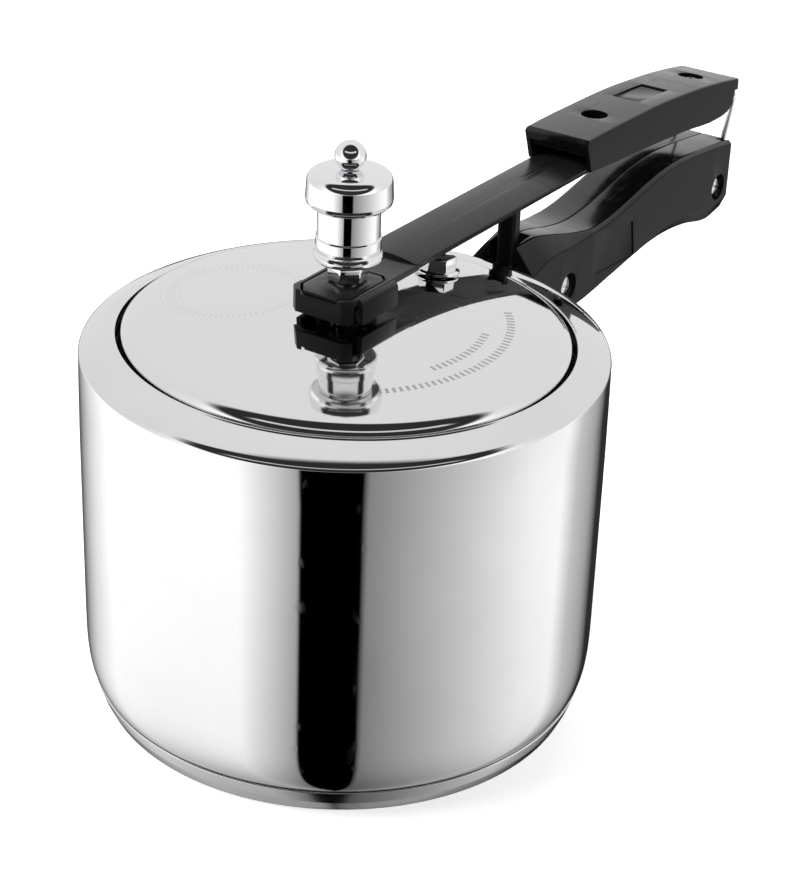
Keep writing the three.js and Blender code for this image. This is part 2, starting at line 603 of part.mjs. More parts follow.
named("vessel", makeVessel(), polishedSteel, cooker);
named("base_core", makeBaseCore(), aluminium, cooker);
named("base_cap", makeBaseCap(), satinSteel, cooker);
named("handle_bracket", makeHandleBracket(), blackSteel, cooker);
named("fulcrum_pin", makeFulcrumPin(), zincSteel, cooker);
named("body_handle_near", makeHandleHalf(-1), bakelite, cooker);
named("body_handle_far", makeHandleHalf(1), bakelite, cooker);
named("handle_screw_front", makeHandleScrew(FRONT_SCREW), zincSteel, cooker);
named("handle_screw_rear", makeHandleScrew(REAR_SCREW), zincSteel, cooker);
named("handle_nut_front", makeHandleNut(FRONT_SCREW), zincSteel, cooker);
named("handle_nut_rear", makeHandleNut(REAR_SCREW), zincSteel, cooker);
named("locking_loop", makeLockingLoop(), chrome, cooker);

named("lever_bar", makeLeverBar(), blackSteel, cooker);
named("fulcrum_post", makeFulcrumPost(), blackSteel, cooker);
named("lid_grip", makeLidGrip(), bakelite, cooker);
for (const [place, x] of [["front", GRIP_SCREWS_X[0]], ["rear", GRIP_SCREWS_X[1]]]) {
  named(`grip_screw_${place}`, makeGripScrew(x), zincSteel, cooker);
  named(`grip_nut_${place}`, makeGripNut(x), zincSteel, cooker);
}
for (const [place, side] of [["near", -1], ["far", 1]]) {
  named(`pivot_pin_${place}`, rod(1.5, [0, side * 6, LID_PIVOT_Z], [0, side * 13.5, LID_PIVOT_Z]), zincSteel, cooker);
}

named("lid_plate", makeLidPlate(valve), polishedSteel, cooker);
named("gasket", makeGasket(), rubber, cooker);
named("lid_bracket", makeLidBracket(), blackSteel, cooker);
named("vent_pipe", makeVentPipe(), chrome, cooker);
named("vent_nut", hexNut(12, 4.8, 0, 0, SADDLE_TOP_Z + GAP, 161), chrome, cooker);
named("vent_washer", ring([[4.8, 140.6], [8.5, 140.6], [8.5, 141.7], [4.8, 141.7]], SMALL), zincSteel, cooker);
named("vent_lock_nut", hexNut(14, 4.8, 0, 0, 136.6, 140.3), zincSteel, cooker);

cooker.add(valve.frame);
named("safety_valve_body", valve.body, chrome, valve.frame);
named("fusible_plug", valve.plug, fusibleMetal, valve.frame);
named("safety_valve_washer", valve.washer, rubber, valve.frame);
named("safety_valve_nut", valve.nut, zincSteel, valve.frame);

named("weight_body", makeWeightBody(), chrome, cooker);
named("weight_cap", makeWeightCap(), chrome, cooker);
named("weight_knob", makeWeightKnob(), chrome, cooker);

export default cooker;
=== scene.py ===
"""Stovetop pressure cooker: the finished look of every visible piece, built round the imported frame.

Lengths in the piece-making code are millimetres, turned into metres where a mesh is made.
"""

import math

import bmesh
import bpy
from bpy.props import FloatProperty, FloatVectorProperty, IntProperty, PointerProperty
from mathutils import Matrix, Vector


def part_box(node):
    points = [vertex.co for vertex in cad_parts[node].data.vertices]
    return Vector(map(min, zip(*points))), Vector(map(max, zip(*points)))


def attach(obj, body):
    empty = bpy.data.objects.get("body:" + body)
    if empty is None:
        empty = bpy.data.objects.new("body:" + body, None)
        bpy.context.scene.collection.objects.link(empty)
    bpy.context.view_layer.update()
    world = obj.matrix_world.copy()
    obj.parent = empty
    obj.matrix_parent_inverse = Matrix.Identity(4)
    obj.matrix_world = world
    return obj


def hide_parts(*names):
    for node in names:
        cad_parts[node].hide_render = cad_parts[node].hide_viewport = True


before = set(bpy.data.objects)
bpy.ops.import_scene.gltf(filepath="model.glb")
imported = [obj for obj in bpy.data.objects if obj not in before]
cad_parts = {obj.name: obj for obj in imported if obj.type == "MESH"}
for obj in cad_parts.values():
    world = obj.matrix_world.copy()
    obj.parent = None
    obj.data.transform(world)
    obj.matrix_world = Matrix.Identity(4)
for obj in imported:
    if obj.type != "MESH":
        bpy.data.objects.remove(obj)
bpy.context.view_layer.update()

bl_info = {
    "name": "Pressure Cooker",
    "version": (1, 0, 0),
    "blender": (4, 5, 0),
    "location": "View3D > Sidebar > Cooker",
    "description": "Builds an inner-lid pressure cooker piece by piece",
    "category": "Add Mesh",
}

MM = 0.001
# painted shade: the black pieces' sides get less gloss than their tops
PAINTED_SHADE_SIDE_GLOSS = 0.16  # gloss of a black piece's sides, as a share of its top's
ROUND_STEPS = 192  # segments of the vessel, lid and base
TURNED_STEPS = 96  # segments of the weight and the small turned fittings
HOLE_STEPS = 40

# Heights and radii that several pieces share, in millimetres.
FLOOR_Z = 7.2
CORNER_TOP_Z = 36.0
CORNER_START = 79.5
OVAL_START_RADIUS = 85.6  # the rim is round outside this and turns oval inside it
OVAL_START_Z = 129.7
RIM_ARC = (77.6, 111.1, 23.7)  # centre and radius of the low dome from the wall's edge up to the mouth
EDGE_ARC = (87.5, 130.1, 2.2)  # centre and radius of the wall's upper edge
MOUTH_RADIUS = 77.0
MOUTH_HALF_X = 75.3
MOUTH_HALF_Y = 78.7
LID_TOP_Z = 143.3
LID_DOME = 4.7
LID_FLAT = 70.8
LID_SHOULDER = 5.0
LID_SHEET = 1.2
LID_FLANGE_Z = 129.7
BAR_HALF = 11.6
BAR_THICK = 2.4
BAR_TOP_Z = 156.3
BAR_ARCH = 1.5
SADDLE_TOP_Z = 154.6
SADDLE_BOTTOM_Z = 146.4
PIVOT_Z = 149.8
FULCRUM = (105.0, 122.0)
LOOP_PIVOT = (260.4, 121.5)
HANDLE_SCREWS = ((128.6, 111.0), (254.8, 113.4))
GRIP_SCREWS = ((165.0, 167.2), (247.0, 161.4))
VALVE_PLACE = (51.0, -3.0)


def low_high(node):
    """A node's lowest and highest corner at rest, in millimetres."""
    low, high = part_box(node)
    return low / MM, high / MM


# ---------------------------------------------------------------- outlines


def filleted(corners, closed=True, steps=6):
    """An outline of (u, v, radius) corners, each rounded with an arc of its radius."""
    outline = []
    for i, (u, v, radius) in enumerate(corners):
        here = Vector((u, v))
        if radius == 0 or (not closed and i in (0, len(corners) - 1)):
            outline.append(here)
            continue
        before = Vector(corners[i - 1][:2]) - here
        after = Vector(corners[(i + 1) % len(corners)][:2]) - here
        half = before.angle(after) / 2
        reach = min(radius / math.tan(half), 0.49 * before.length, 0.49 * after.length)
        radius = reach * math.tan(half)
        middle = before.normalized() + after.normalized()
        centre = here + middle.normalized() * (radius / math.sin(half))
        start = here + before.normalized() * reach - centre
        end = here + after.normalized() * reach - centre
        first = math.atan2(start.y, start.x)
        sweep = (math.atan2(end.y, end.x) - first + math.pi) % (2 * math.pi) - math.pi
        for step in range(steps + 1):
            angle = first + sweep * step / steps
            outline.append(centre + radius * Vector((math.cos(angle), math.sin(angle))))
    return outline


def arc(centre_u, centre_v, radius, start, end, steps):
    """Points on an arc, from start to end in degrees."""
    points = []
    for i in range(steps + 1):
        angle = math.radians(start + (end - start) * i / steps)
        points.append(Vector((centre_u + radius * math.cos(angle), centre_v + radius * math.sin(angle))))
    return points


def corner_curve(start_radius, end_radius, low_z, steps):
    """The vessel wall's lower corner: a superellipse of order four."""
    points = []
    for i in range(steps + 1):
        angle = 0.5 * math.pi * i / steps
        radius = start_radius + (end_radius - start_radius) * math.sqrt(math.sin(angle))
        height = CORNER_TOP_Z - (CORNER_TOP_Z - low_z) * math.sqrt(max(0.0, math.cos(angle)))
        points.append(Vector((radius, height)))
    return points


def smooth_line(points, samples):
    """A smooth run of (x, z) points through a few given ones, evenly spaced in x."""
    xs = [p[0] for p in points]
    zs = [p[1] for p in points]
    slopes = []
    for i in range(len(points)):
        a = max(0, i - 1)
        b = min(len(points) - 1, i + 1)
        slopes.append((zs[b] - zs[a]) / (xs[b] - xs[a]))
    line = []
    for s in range(samples + 1):
        x = xs[0] + (xs[-1] - xs[0]) * s / samples
        i = max(k for k in range(len(xs) - 1) if xs[k] <= x + 1e-9)
        span = xs[i + 1] - xs[i]
        t = (x - xs[i]) / span
        h1 = 2 * t**3 - 3 * t**2 + 1
        h2 = t**3 - 2 * t**2 + t
        h3 = -2 * t**3 + 3 * t**2
        h4 = t**3 - t**2
        line.append((x, h1 * zs[i] + h2 * span * slopes[i] + h3 * zs[i + 1] + h4 * span * slopes[i + 1]))
    return line


# ---------------------------------------------------------------- meshes


def shaded(mesh, angle=35):
    """Smooth shading, with the edges sharper than the angle kept crisp."""
    mesh.polygons.foreach_set("use_smooth", [True] * len(mesh.polygons))
    mesh.set_sharp_from_angle(angle=math.radians(angle))
    mesh.update()
    return mesh


def mesh_from(name, points, faces):
    """A mesh of points in millimetres, closed up and with its faces pointing out."""
    mesh = bpy.data.meshes.new(name)
    mesh.from_pydata([Vector(p) * MM for p in points], [], faces)
    shape = bmesh.new()
    shape.from_mesh(mesh)
    bmesh.ops.remove_doubles(shape, verts=shape.verts, dist=1e-7)
    bmesh.ops.recalc_face_normals(shape, faces=shape.faces)
    shape.to_mesh(mesh)
    shape.free()
    return shaded(mesh)


def revolved(name, profile, steps=ROUND_STEPS, bend=None, closed=False):
    """Turns a profile of (radius, height) round Z. It ends on the axis, or closes on itself."""
    points = []
    faces = []
    count = len(profile)
    for turn in range(steps):
        angle = 2 * math.pi * turn / steps
        for radius, height in profile:
            point = (radius * math.cos(angle), radius * math.sin(angle), height)
            points.append(bend(point) if bend else point)
    for turn in range(steps):
        here = turn * count
        there = (turn + 1) % steps * count
        for i in range(count if closed else count - 1):
            j = (i + 1) % count
            faces.append((here + i, there + i, there + j, here + j))
    return mesh_from(name, points, faces)


def lofted(name, rings):
    """A closed skin over rings of equal length, with flat ends."""
    count = len(rings[0])
    points = [point for each in rings for point in each]
    faces = [list(range(count))[::-1], [len(points) - count + i for i in range(count)]]
    for row in range(len(rings) - 1):
        for i in range(count):
            j = (i + 1) % count
            a = row * count
            b = a + count
            faces.append((a + i, a + j, b + j, b + i))
    return mesh_from(name, points, faces)


def prism(name, outline, axis, low, high):
    """An outline pushed from low to high along the X, Y or Z axis."""
    place = {
        "X": lambda u, v, w: (w, u, v),
        "Y": lambda u, v, w: (u, w, v),
        "Z": lambda u, v, w: (u, v, w),
    }[axis]
    return lofted(name, [[place(p[0], p[1], w) for p in outline] for w in (low, high)])


def cylinder(name, radius, start, end, steps=HOLE_STEPS, flare=0.0):
    """A round bar between two points. flare widens its last stretch into a soft mouth."""
    along = Vector(end) - Vector(start)
    turn = Vector((0, 0, 1)).rotation_difference(along).to_matrix()
    rings = [(radius, 0.0), (radius, along.length)]
    rings_points = []
    if flare:
        rings = [
            (radius, 0.0), (radius, along.length - 2 * flare), (radius + flare, along.length - flare),
            (radius + flare, along.length),
        ]
    for size, height in rings:
        ring = []
        for i in range(steps):
            angle = 2 * math.pi * i / steps
            spoke = Vector((size * math.cos(angle), size * math.sin(angle), height))
            ring.append(Vector(start) + turn @ spoke)
        rings_points.append(ring)
    return lofted(name, rings_points)


def box(name, low, high):
    footprint = [(low[0], low[1]), (high[0], low[1]), (high[0], high[1]), (low[0], high[1])]
    return prism(name, footprint, "Z", low[2], high[2])


def paired_box(name, xs, ys, zs, way):
    """A block at ys on the far side of the middle, or on the near side where way is -1."""
    first, second = sorted(y * way for y in ys)
    return box(name, (xs[0], first, zs[0]), (xs[1], second, zs[1]))


def hexagon_points(across_flats, turned=0):
    """The corners of a hexagon, turned by some degrees."""
    corner = across_flats / math.sqrt(3)
    angles = [math.radians(60 * i + turned) for i in range(6)]
    return [(corner * math.cos(angle), corner * math.sin(angle)) for angle in angles]


def put(name, mesh):
    made = bpy.data.objects.new(name, mesh)
    bpy.context.scene.collection.objects.link(made)
    return made


def applied(made):
    """Turns a piece's modifiers into its plain mesh."""
    graph = bpy.context.evaluated_depsgraph_get()
    old = made.data
    mesh = bpy.data.meshes.new_from_object(made.evaluated_get(graph))
    made.modifiers.clear()
    made.data = mesh
    bpy.data.meshes.remove(old)
    return made


def combined(made, operation, meshes):
    """Cuts the meshes from a piece, or joins them to it, one after another."""
    for mesh in meshes:
        tool = put("tool", mesh)
        step = made.modifiers.new("step", "BOOLEAN")
        step.operation = operation
        step.solver = "EXACT"
        step.object = tool
        applied(made)
        bpy.data.objects.remove(tool)
        bpy.data.meshes.remove(mesh)
    return made


def edge_rounded(made, width, segments=2, angle=35):
    """Breaks a piece's sharp edges with a small round, in millimetres."""
    step = made.modifiers.new("edges", "BEVEL")
    step.width = width * MM
    step.segments = segments
    step.limit_method = "ANGLE"
    step.angle_limit = math.radians(angle)
    step.miter_outer = "MITER_ARC"
    applied(made)
    shaded(made.data, angle)
    return made


def piece(made, material, body, slot, *nodes):
    """Gives a finished piece its material and its place in the frame."""
    made.data.materials.clear()
    made.data.materials.append(material)
    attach(made, body)
    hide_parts(*nodes)
    return made


def carried(node, material):
    """A CAD node whose own shape is right, in its finished material."""
    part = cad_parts[node]
    part.data.materials.clear()
    part.data.materials.append(material)


# ---------------------------------------------------------------- shader groups


def add(tree, kind, sockets=None, **settings):
    """One shader or geometry node, with its settings, values and links."""
    made = tree.nodes.new(kind)
    for key, value in settings.items():
        setattr(made, key, value)
    for key, value in (sockets or {}).items():
        if isinstance(value, bpy.types.NodeSocket):
            tree.links.new(value, made.inputs[key])
        else:
            made.inputs[key].default_value = value
    return made


def maths(tree, operation, first, second=0.0):
    return add(tree, "ShaderNodeMath", {0: first, 1: second}, operation=operation).outputs[0]


def scaled(tree, value, low, high):
    """Spreads a 0 to 1 value over low to high."""
    return add(tree, "ShaderNodeMapRange", {"Value": value, "To Min": low, "To Max": high}).outputs["Result"]


def between(tree, value, low, high):
    """0 below low, 1 above high and a smooth step between them."""
    made = add(tree, "ShaderNodeMapRange", {"Value": value, "From Min": low, "From Max": high})
    made.interpolation_type = "SMOOTHSTEP"
    return made.outputs["Result"]


def noise(tree, vector, size, detail=2.0, rough=0.5):
    sockets = {"Vector": vector, "Scale": size, "Detail": detail, "Roughness": rough}
    return add(tree, "ShaderNodeTexNoise", sockets).outputs["Fac"]


def stretched(tree, vector, size):
    return add(tree, "ShaderNodeMapping", {"Vector": vector, "Scale": size}).outputs["Vector"]


def shader_group(name, inputs, outputs):
    tree = bpy.data.node_groups.new(name, "ShaderNodeTree")
    for socket, kind, default in inputs:
        made = tree.interface.new_socket(socket, in_out="INPUT", socket_type=kind)
        if default is not None:
            made.default_value = default
    for socket in outputs:
        tree.interface.new_socket(socket, in_out="OUTPUT", socket_type="NodeSocketFloat")
    return tree, tree.nodes.new("NodeGroupInput").outputs, tree.nodes.new("NodeGroupOutput").inputs


def handling_group():
    """Faint smears and hairline scratches left by wiping and use."""
    tree, given, result = shader_group(
        "handling marks",
        [("Vector", "NodeSocketVector", None), ("Smear Scale", "NodeSocketFloat", 30.0),
         ("Scratch Scale", "NodeSocketFloat", 260.0)],
        ["Smears", "Scratches"],
    )
    smears = noise(tree, given["Vector"], given["Smear Scale"], 4.0, 0.55)
    tree.links.new(between(tree, smears, 0.42, 0.7), result["Smears"])
    runs = []
    for turn in ((1.0, 0.06, 0.3), (0.05, 1.0, 0.5)):
        along = stretched(tree, given["Vector"], turn)
        runs.append(between(tree, noise(tree, along, given["Scratch Scale"], 1.0), 0.66, 0.72))
    tree.links.new(maths(tree, "MAXIMUM", runs[0], runs[1]), result["Scratches"])
    return tree


def turning_group():
    """Fine concentric marks about the Z axis, as a lathe or a polishing wheel leaves them."""
    tree, given, result = shader_group(
        "turning marks",
        [("Vector", "NodeSocketVector", None), ("Pitch", "NodeSocketFloat", 1800.0)],
        ["Marks", "Radius"],
    )
    apart = add(tree, "ShaderNodeSeparateXYZ", {"Vector": given["Vector"]}).outputs
    radius = maths(tree, "SQRT", maths(tree, "ADD", maths(tree, "POWER", apart["X"], 2.0),
                                       maths(tree, "POWER", apart["Y"], 2.0)))
    across = add(tree, "ShaderNodeCombineXYZ", {"X": radius, "Y": apart["Z"]}).outputs[0]
    tree.links.new(noise(tree, across, given["Pitch"], 3.0, 0.7), result["Marks"])
    tree.links.new(radius, result["Radius"])
    return tree


def moulding_group():
    """The slight unevenness of a moulded or coated surface, with dust on its upper faces, and a mask of
    upward faces used to paint shade on the sides.
    """
    tree, given, result = shader_group(
        "moulding grain",
        [("Vector", "NodeSocketVector", None), ("Grain Scale", "NodeSocketFloat", 900.0),
         ("Dust Scale", "NodeSocketFloat", 160.0)],
        ["Grain", "Flow", "Dust", "Painted Shade Top Mask"],
    )
    tree.links.new(noise(tree, given["Vector"], given["Grain Scale"], 3.0, 0.6), result["Grain"])
    tree.links.new(noise(tree, given["Vector"], 24.0, 2.0), result["Flow"])
    up = add(tree, "ShaderNodeSeparateXYZ", {"Vector": add(tree, "ShaderNodeNewGeometry").outputs["Normal"]})
    specks = between(tree, noise(tree, given["Vector"], given["Dust Scale"], 5.0, 0.7), 0.5, 0.75)
    dust = maths(tree, "MULTIPLY", specks, between(tree, up.outputs["Z"], 0.3, 0.9))
    tree.links.new(dust, result["Dust"])
    # painted shade: 1 on upward faces and 0 on the sides, whose gloss the black materials cut down
    tree.links.new(between(tree, up.outputs["Z"], 0.35, 0.85), result["Painted Shade Top Mask"])
    return tree


# ---------------------------------------------------------------- materials


def new_material(name):
    """A node material with its object coordinates and its Principled shader."""
    material = bpy.data.materials.new(name)
    material.use_nodes = True
    tree = material.node_tree
    shader = tree.nodes["Principled BSDF"]
    place = add(tree, "ShaderNodeTexCoord").outputs["Object"]
    return material, tree, shader, place


def placed_group(tree, name, sockets):
    made = tree.nodes.new("ShaderNodeGroup")
    made.node_tree = bpy.data.node_groups[name]
    for key, value in sockets.items():
        if isinstance(value, bpy.types.NodeSocket):
            tree.links.new(value, made.inputs[key])
        else:
            made.inputs[key].default_value = value
    return made.outputs


def tinted(tree, amount, low, high):
    """A colour between two, by a 0 to 1 value."""
    mix = add(tree, "ShaderNodeMix", data_type="RGBA")
    tree.links.new(amount, mix.inputs["Factor"])
    mix.inputs["A"].default_value = (*low, 1)
    mix.inputs["B"].default_value = (*high, 1)
    return mix.outputs["Result"]


def bumped(tree, shader, height, distance, strength=1.0):
    bump = add(tree, "ShaderNodeBump", {"Height": height, "Distance": distance, "Strength": strength})
    tree.links.new(bump.outputs["Normal"], shader.inputs["Normal"])


def summed(tree, *parts):
    """Adds (value, weight) pairs."""
    total = None
    for value, weight in parts:
        term = maths(tree, "MULTIPLY", value, weight)
        total = term if total is None else maths(tree, "ADD", total, term)
    return total


def polished_material(name, colour, smoothness, waviness):
    """Mirror-polished metal with faint smears, hairlines and a slight waviness in its reflections."""
    material, tree, shader, place = new_material(name)
    marks = placed_group(tree, "handling marks", {"Vector": place})
    shader.inputs["Metallic"].default_value = 1.0
    shade = tinted(tree, marks["Smears"], colour, [c * 0.97 for c in colour])
    tree.links.new(shade, shader.inputs["Base Color"])
    rough = summed(tree, (marks["Smears"], 0.02), (marks["Scratches"], 0.05))
    tree.links.new(maths(tree, "ADD", rough, smoothness), shader.inputs["Roughness"])
    waves = noise(tree, stretched(tree, place, (1.0, 1.0, 0.35)), 26.0, 1.0)
    height = summed(tree, (waves, waviness), (marks["Scratches"], -0.004))
    bumped(tree, shader, height, 0.0004)
    return material


def turned_material(name, colour, smoothness, pitch, depth):
    """Metal with fine turning marks about the vessel's axis."""
    material, tree, shader, place = new_material(name)
    turning = placed_group(tree, "turning marks", {"Vector": place, "Pitch": pitch})
    marks = placed_group(tree, "handling marks", {"Vector": place, "Smear Scale": 18.0})
    shader.inputs["Metallic"].default_value = 1.0
    shade = tinted(tree, turning["Marks"], [c * 0.94 for c in colour], colour)
    tree.links.new(shade, shader.inputs["Base Color"])
    rough = summed(tree, (turning["Marks"], 0.06), (marks["Smears"], 0.03), (marks["Scratches"], 0.05))
    tree.links.new(maths(tree, "ADD", rough, smoothness), shader.inputs["Roughness"])
    bumped(tree, shader, turning["Marks"], depth)
    return material


def etched_rings(tree, place, centre, rings, ticks):
    """A mask of plain etched rings about a centre on the lid, with even ticks between two of them.

    rings holds (radius, half width) in millimetres. ticks is (inner, outer, count, share of each pitch).
    """
    middle = (centre[0] * MM, centre[1] * MM, 0)
    moved = add(tree, "ShaderNodeVectorMath", {0: place, 1: middle}, operation="SUBTRACT")
    apart = add(tree, "ShaderNodeSeparateXYZ", {"Vector": moved.outputs[0]}).outputs
    radius = maths(tree, "SQRT", maths(tree, "ADD", maths(tree, "POWER", apart["X"], 2.0),
                                       maths(tree, "POWER", apart["Y"], 2.0)))
    mask = None
    for size, half in rings:
        off = maths(tree, "ABSOLUTE", maths(tree, "SUBTRACT", radius, size * MM))
        line = maths(tree, "LESS_THAN", off, half * MM)
        mask = line if mask is None else maths(tree, "MAXIMUM", mask, line)
    inner, outer, count, share = ticks
    turn = maths(tree, "ARCTAN2", apart["Y"], apart["X"])
    phase = maths(tree, "FRACT", maths(tree, "MULTIPLY", turn, count / (2 * math.pi)))
    inside = maths(tree, "MULTIPLY", maths(tree, "GREATER_THAN", radius, inner * MM),
                   maths(tree, "LESS_THAN", radius, outer * MM))
    tick = maths(tree, "MULTIPLY", inside, maths(tree, "LESS_THAN", phase, share))
    both = tick if mask is None else maths(tree, "MAXIMUM", mask, tick)
    return both, turn


def lid_material(name, colour):
    """Satin-polished lid: turning marks, and plain etched rings and ticks in place of words."""
    material, tree, shader, place = new_material(name)
    turning = placed_group(tree, "turning marks", {"Vector": place, "Pitch": 1500.0})
    marks = placed_group(
        tree, "handling marks", {"Vector": place, "Smear Scale": 14.0, "Scratch Scale": 200.0})
    stamp, _ = etched_rings(tree, place, (-6.5, 42.0), [(25.5, 0.16), (19.4, 0.1)], (20.8, 24.0, 72, 0.4))
    arcs = None
    for inner, outer, count, first, last in ((53.9, 56.6, 150, -134, -47), (46.2, 48.9, 128, -111, -69)):
        ticks, turn = etched_rings(tree, place, (0.0, 0.0), [], (inner, outer, count, 0.42))
        low = maths(tree, "GREATER_THAN", turn, math.radians(first))
        high = maths(tree, "LESS_THAN", turn, math.radians(last))
        ticks = maths(tree, "MULTIPLY", ticks, maths(tree, "MULTIPLY", low, high))
        arcs = ticks if arcs is None else maths(tree, "MAXIMUM", arcs, ticks)
    etched = maths(tree, "MAXIMUM", maths(tree, "MULTIPLY", stamp, 0.22), arcs)
    shader.inputs["Metallic"].default_value = 1.0
    shader.inputs["Anisotropic"].default_value = 0.2
    tangent = add(tree, "ShaderNodeTangent", direction_type="RADIAL", axis="Z")
    tree.links.new(tangent.outputs["Tangent"], shader.inputs["Tangent"])
    shade = tinted(tree, etched, colour, [c * 0.62 for c in colour])
    tree.links.new(shade, shader.inputs["Base Color"])
    rough = summed(
        tree, (turning["Marks"], 0.02), (marks["Smears"], 0.02), (marks["Scratches"], 0.04), (etched, 0.35))
    tree.links.new(maths(tree, "ADD", rough, 0.02), shader.inputs["Roughness"])
    height = summed(tree, (turning["Marks"], 0.01), (etched, -0.4))
    bumped(tree, shader, height, 0.0001)
    return material


def black_material(name, colour, smoothness, grain, shine):
    """Black coated steel or moulded phenolic: fine grain, soft flow marks and a little dust.

    Faces that look up are glossier than the sides: painted shade that darkens the sides.
    """
    material, tree, shader, place = new_material(name)
    mould = placed_group(tree, "moulding grain", {"Vector": place})
    marks = placed_group(
        tree, "handling marks", {"Vector": place, "Smear Scale": 60.0, "Scratch Scale": 420.0})
    shade = tinted(tree, mould["Dust"], colour, [c + 0.012 for c in colour])
    tree.links.new(shade, shader.inputs["Base Color"])
    rough = summed(tree, (mould["Flow"], 0.06), (mould["Dust"], 0.12), (marks["Smears"], 0.05),
                   (marks["Scratches"], 0.1))
    tree.links.new(maths(tree, "ADD", rough, smoothness), shader.inputs["Roughness"])
    # painted shade: the sides keep only a share of the top's gloss
    gloss = scaled(tree, mould["Painted Shade Top Mask"], shine * PAINTED_SHADE_SIDE_GLOSS, shine)
    tree.links.new(gloss, shader.inputs["Specular IOR Level"])
    height = summed(tree, (mould["Grain"], grain), (mould["Flow"], 0.4), (marks["Scratches"], -0.1))
    bumped(tree, shader, height, 0.00006)
    return material


def rubber_material(name):
    material, tree, shader, place = new_material(name)
    mould = placed_group(tree, "moulding grain", {"Vector": place, "Grain Scale": 1400.0})
    shade = tinted(tree, mould["Flow"], (0.02, 0.02, 0.02), (0.035, 0.035, 0.036))
    tree.links.new(shade, shader.inputs["Base Color"])
    tree.links.new(scaled(tree, mould["Grain"], 0.6, 0.85), shader.inputs["Roughness"])
    bumped(tree, shader, mould["Grain"], 0.0001)
    return material


def make_materials(context):
    colours = context.scene.cooker_colours
    steel = list(colours.steel)
    black = list(colours.black)
    handling_group()
    turning_group()
    moulding_group()
    polished_material("vessel steel", steel, 0.035, 0.035)
    polished_material("bright chrome", [0.87, 0.87, 0.88], 0.03, 0.012)
    turned_material("base steel", [c * 0.95 for c in steel], 0.1, 1300.0, 0.00002)
    lid_material("lid steel", steel)
    turned_material("zinc steel", [0.74, 0.74, 0.73], 0.22, 2600.0, 0.00002)
    turned_material("aluminium core", [0.66, 0.67, 0.68], 0.35, 900.0, 0.00004)
    turned_material("fusible metal", [0.5, 0.51, 0.53], 0.4, 1500.0, 0.00003)
    black_material("black steel", [c * 1.3 for c in black], 0.25, 0.5, 0.5)
    black_material("moulded bakelite", [c * 0.5 for c in black], 0.12, 0.12, 0.5)
    rubber_material("seal rubber")


def finish(name):
    return bpy.data.materials[name]


# ---------------------------------------------------------------- geometry-node fasteners


def fastener_tree(name, inputs):
    """A tree that puts one fastener at each end of a line, realised and given its material."""
    tree = bpy.data.node_groups.new(name, "GeometryNodeTree")
    tree.interface.new_socket("Geometry", in_out="INPUT", socket_type="NodeSocketGeometry")
    shared = [("First", "NodeSocketVector"), ("Second", "NodeSocketVector"), ("Turn", "NodeSocketRotation")]
    for socket, kind in shared + inputs + [("Material", "NodeSocketMaterial")]:
        tree.interface.new_socket(socket, in_out="INPUT", socket_type=kind)
    tree.interface.new_socket("Geometry", in_out="OUTPUT", socket_type="NodeSocketGeometry")
    given = tree.nodes.new("NodeGroupInput").outputs
    result = tree.nodes.new("NodeGroupOutput").inputs
    ends = {"Count": 2, "Start Location": given["First"], "Offset": given["Second"]}
    line = add(tree, "GeometryNodeMeshLine", ends, mode="END_POINTS").outputs["Mesh"]
    return tree, given, result, line


def set_at_points(tree, given, result, line, part):
    """Puts the part at the line's points, as real geometry in the given material."""
    placed = {"Points": line, "Instance": part, "Rotation": given["Turn"]}
    spread = add(tree, "GeometryNodeInstanceOnPoints", placed)
    real = add(tree, "GeometryNodeRealizeInstances", {"Geometry": spread.outputs["Instances"]})
    real_mesh = real.outputs["Geometry"]
    flat = add(tree, "GeometryNodeSetShadeSmooth", {"Geometry": real_mesh, "Shade Smooth": False}).outputs[0]
    dressed = add(tree, "GeometryNodeSetMaterial", {"Geometry": flat, "Material": given["Material"]})
    tree.links.new(dressed.outputs["Geometry"], result["Geometry"])


def round_bar(tree, radius, length, middle, sides=40):
    """A cylinder whose middle is moved along its axis."""
    sizes = {"Vertices": sides, "Radius": radius, "Depth": length}
    bar = add(tree, "GeometryNodeMeshCylinder", sizes).outputs["Mesh"]
    shift = add(tree, "ShaderNodeCombineXYZ", {"Z": middle}).outputs[0]
    return add(tree, "GeometryNodeTransform", {"Geometry": bar, "Translation": shift}).outputs[0]


def bool_of(tree, operation, first, others):
    """Cuts the other meshes from the first, or joins or crosses them with it."""
    made = add(tree, "GeometryNodeMeshBoolean", operation=operation, solver="EXACT")
    if operation == "DIFFERENCE":
        tree.links.new(first, made.inputs["Mesh 1"])
    else:
        others = [first, *others]
    for other in others:
        tree.links.new(other, made.inputs["Mesh 2"])
    return made.outputs["Mesh"]


